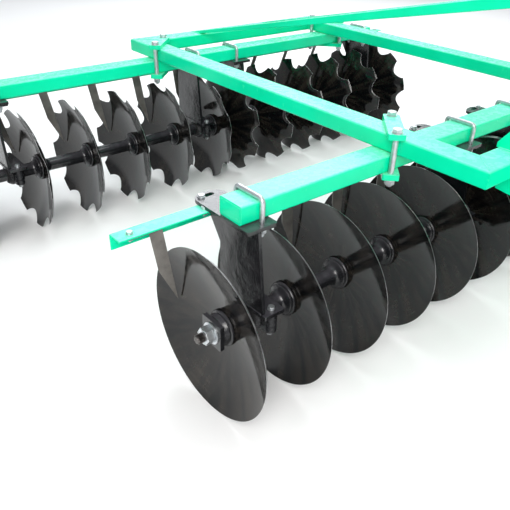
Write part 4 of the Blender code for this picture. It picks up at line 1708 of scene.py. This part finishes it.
@dataclass(frozen=True)
class Mast:
    """The top link bracket, the two uprights under it and the two stays behind it."""

    cheek: float = 0.012
    pin_radius: float = 0.0129
    pin_from_front: float = 0.040
    pin_under_top: float = 0.045
    lock_radius: float = 0.022
    lock: float = 0.003
    web: float = 0.012
    ear: float = 0.010
    knee: float = 0.101
    joint_height: float = 0.050
    upright_edge: float = 0.006
    upright_bolt: float = 0.060
    stay_width: float = 0.034
    stay_foot: float = 0.078
    stay_edge: float = 0.005

    def bracket(self) -> None:
        """Makes the top link bracket with its lock plates and welds."""
        low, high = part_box("top_link_bracket")
        outline = rounded(rectangle((low.y, low.z), (high.y, high.z)), 0.016, 5)
        pin = (low.y + self.pin_from_front, high.z - self.pin_under_top)
        hole, ring = circle(pin, self.pin_radius), circle(pin, self.lock_radius)
        form, bead = Form(), WeldBead(radius=0.0032)
        for span in ((low.x, low.x + self.cheek), (high.x - self.cheek, high.x)):
            form.plate(outline, *span, SIDE_VIEW, holes=[hole], edge=0.0014)
        for span in ((low.x - self.lock, low.x), (high.x, high.x + self.lock)):
            form.plate(ring, *span, SIDE_VIEW, holes=[hole], edge=0.0008)
        inset, front = self.cheek - 0.001, high.y - self.web
        web = rectangle((low.x + inset, front), (high.x - inset, high.y - 0.0005))
        form.plate(web, low.z + 0.001, high.z - 0.001, edge=0.0008)
        for x in (low.x + self.cheek, high.x - self.cheek):
            bead.lay(form, (x, front, low.z + 0.004), (x, front, high.z - 0.004))
        made = form.piece("top_link_bracket_plates", "frame", GREEN)
        stands_for(made, "turquoise_paint", "top_link_bracket")

    def upright(self, side: Side) -> None:
        """Makes one upright: it rises between the ears and leans in to the bracket.

        Args:
            side: the side that it is on.
        """
        name = f"{side.value}_mast_upright"
        low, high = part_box(name)
        ear_low, ear_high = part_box(f"{side.value}_lower_hitch")
        half = (ear_high.x - ear_low.x) / 2 - self.ear - SEAT
        middle = (ear_low.x + ear_high.x) / 2
        bracket_low, bracket_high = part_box("top_link_bracket")
        cheek = bracket_low.x - SEAT if side.facing > 0 else bracket_high.x + SEAT
        outer, inner = middle - side.facing * half, middle + side.facing * half
        plan = rectangle((outer, low.y), (inner, high.y))
        foot = [(x, y, low.z) for x, y in plan]
        bend = [(x, y, low.z + self.knee) for x, y in plan]
        under = high.z - self.joint_height
        top = [(cheek, low.y, high.z), (cheek, low.y, under)]
        top += [(cheek, high.y, under), (cheek, high.y, high.z)]
        form, bead = Form(), WeldBead(radius=0.0034)
        form.solid([foot, bend, top], self.upright_edge)
        for z in (under + 0.004, high.z - 0.004):
            bead.lay(form, (cheek, low.y + 0.006, z), (cheek, high.y - 0.006, z))
        bolts = Form()
        y = (low.y + high.y) / 2
        for way, x in ((-1, ear_low.x), (1, ear_high.x)):
            at = towards((x, y, low.z + self.upright_bolt), X_AXIS * way)
            if way == side.facing:
                M16.nut(bolts, at, thread_beyond=0.007)
            else:
                M16.head(bolts, at)
        made = form.piece(f"{name}_bar", "frame", GREEN)
        stands_for(made, "turquoise_paint", name)
        bolts.piece(f"{name}_bolt", "frame", ZINC)

    def stay(self, side: Side) -> None:
        """Makes one stay from the bracket down to the rear cross member.

        Args:
            side: the side that it is on.
        """
        name = f"{side.value}_mast_brace"
        low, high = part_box(name)
        near_x, far_x = (high.x, low.x) if side.facing > 0 else (low.x, high.x)
        step = -side.facing * self.stay_width
        end = rectangle((near_x, high.z - self.joint_height), (near_x + step, high.z))
        top = [(x, low.y, z) for x, z in end]
        foot_front, foot_back = high.y - self.stay_foot, high.y
        plan = rectangle((far_x - step, foot_front), (far_x, foot_back))
        foot = [(x, y, low.z) for x, y in plan]
        form, bead = Form(), WeldBead(radius=0.0034)
        form.solid([top, foot], self.stay_edge)
        for x in (far_x, far_x - step):
            bead.lay(form, (x, foot_front + 0.006, low.z), (x, foot_back - 0.006, low.z))
        for z in (high.z - 0.046, high.z - 0.004):
            bead.lay(form, (near_x, low.y, z), (near_x + step, low.y, z))
        made = form.piece(f"{name}_bar", "frame", GREEN)
        stands_for(made, "turquoise_paint", name)

    def build(self) -> None:
        """Makes the whole mast."""
        self.bracket()
        for side in Side:
            self.upright(side)
            self.stay(side)


# ---------------------------------------------------------------- studio


@dataclass(frozen=True)
class Studio:
    """The floor, the lights and the camera."""

    floor_half: float = 40.0
    camera_at: Place = (-2.064, -1.737, 1.419)
    heading: float = 40.54
    dip: float = 32.06
    roll: float = 1.87
    lens: float = 41.15
    sensor: float = 36.0
    clip: tuple[float, float] = (0.02, 200.0)
    fill: float = 0.42
    fill_tint: Colour = (0.93, 0.96, 1.0)

    def floor(self) -> None:
        """Lays the flat floor."""
        mesh = bpy.data.meshes.new("studio_floor")
        h = self.floor_half
        corners = [(x, y, 0.0) for x, y in rectangle((-h, -h), (h, h))]
        mesh.from_pydata(corners, [], [(0, 1, 2, 3)])
        mesh.materials.append(PlainFloor().material())
        obj = shown("studio_floor", mesh)

    def softbox(
        self, name: str, at: Place, aim: Place, size: float, power: float, tint: Colour
    ) -> None:
        """Hangs a soft light.

        Args:
            name: the light's name.
            at: where it hangs.
            aim: the point that it faces.
            size: its side.
            power: its power in watts.
            tint: its colour.
        """
        light = bpy.data.lights.new(name, "AREA")
        light.shape, light.size, light.energy, light.color = "SQUARE", size, power, tint
        obj = shown(name, light)
        obj.location = at
        obj.rotation_euler = (Vector(aim) - Vector(at)).to_track_quat("-Z", "Y").to_euler()

    def sky(self) -> None:
        """Fills the studio with soft light."""
        world = bpy.data.worlds.new("studio_fill")
        world.use_nodes = True
        background = world.node_tree.nodes["Background"]
        background.inputs["Color"].default_value = (*self.fill_tint, 1.0)
        background.inputs["Strength"].default_value = self.fill
        bpy.context.scene.world = world

    def camera(self) -> None:
        """Sets up the camera from its heading, dip and roll."""
        yaw, pitch, lean = radians(self.heading), radians(self.dip), radians(self.roll)
        level = Vector((cos(yaw), -sin(yaw), 0))
        ahead = Vector((sin(yaw) * cos(pitch), cos(yaw) * cos(pitch), -sin(pitch)))
        above = level.cross(ahead)
        right = cos(lean) * level + sin(lean) * above
        up = cos(lean) * above - sin(lean) * level
        data = bpy.data.cameras.new("studio_camera")
        data.lens, data.sensor_width = self.lens, self.sensor
        data.clip_start, data.clip_end = self.clip
        obj = shown("studio_camera", data)
        turn = Matrix((right, up, -ahead)).transposed()
        obj.matrix_world = Matrix.Translation(self.camera_at) @ turn.to_4x4()
        bpy.context.scene.camera = obj

    def build(self) -> None:
        """Sets up the whole studio."""
        self.floor()
        self.sky()
        self.camera()
        self.softbox("key", (-3.5, -3.5, 3.6), (0.0, 0.0, 0.4), 3.0, 260.0, (1.0, 0.98, 0.95))
        self.softbox("top", (0.0, 0.5, 5.5), (0.0, 0.3, 0.3), 4.0, 150.0, (0.97, 0.98, 1.0))
        self.softbox("back", (3.8, 4.6, 5.2), (-0.3, -0.3, 0.6), 5.0, 370.0, (0.95, 0.98, 1.0))
        self.softbox("side", (4.5, -2.0, 3.0), (0.3, 0.0, 0.4), 3.0, 60.0, (1.0, 0.97, 0.92))
        bpy.context.scene.view_settings.view_transform = "Standard"


# ---------------------------------------------------------------- whole machine


def bearing_places(gang: GangPlace, disc: Disc) -> dict[str, float]:
    """Where a gang's two bearings stand along it, by the hanger's name.

    Args:
        gang: the gang.
        disc: its disc.

    Returns:
        Each bearing's middle, in the gang's axes.
    """
    outer = disc.depth + (gang.spacing + disc.thickness) / 2
    from_last_disc, half, flange = 0.0175, 0.035, 0.030
    inner = (gang.discs - 1) * gang.spacing + disc.depth - flange - from_last_disc - half
    return {"outer": outer, "inner": inner}


def main() -> None:
    """Builds the harrow and its studio."""
    logging.basicConfig(level=logging.INFO, format="%(name)s: %(message)s")
    Studio().build()
    disc = Disc()
    axle, hanger, bar = Axle(disc), Hanger(), ScraperBar(disc)
    for gang in GANGS:
        for number in range(1, gang.discs + 1):
            disc.build(gang, number)
        axle.build(gang)
        for where, x in bearing_places(gang, disc).items():
            hanger.build(gang, where, x)
        bar.build(gang)
    MainFrame(Tube()).build()
    for row in Row:
        for side in Side:
            Clamp().build(row, side)
    for side in Side:
        LowerHitch().build(side)
    Mast().build()
    bpy.context.view_layer.update()


if __name__ == "__main__":
    main()
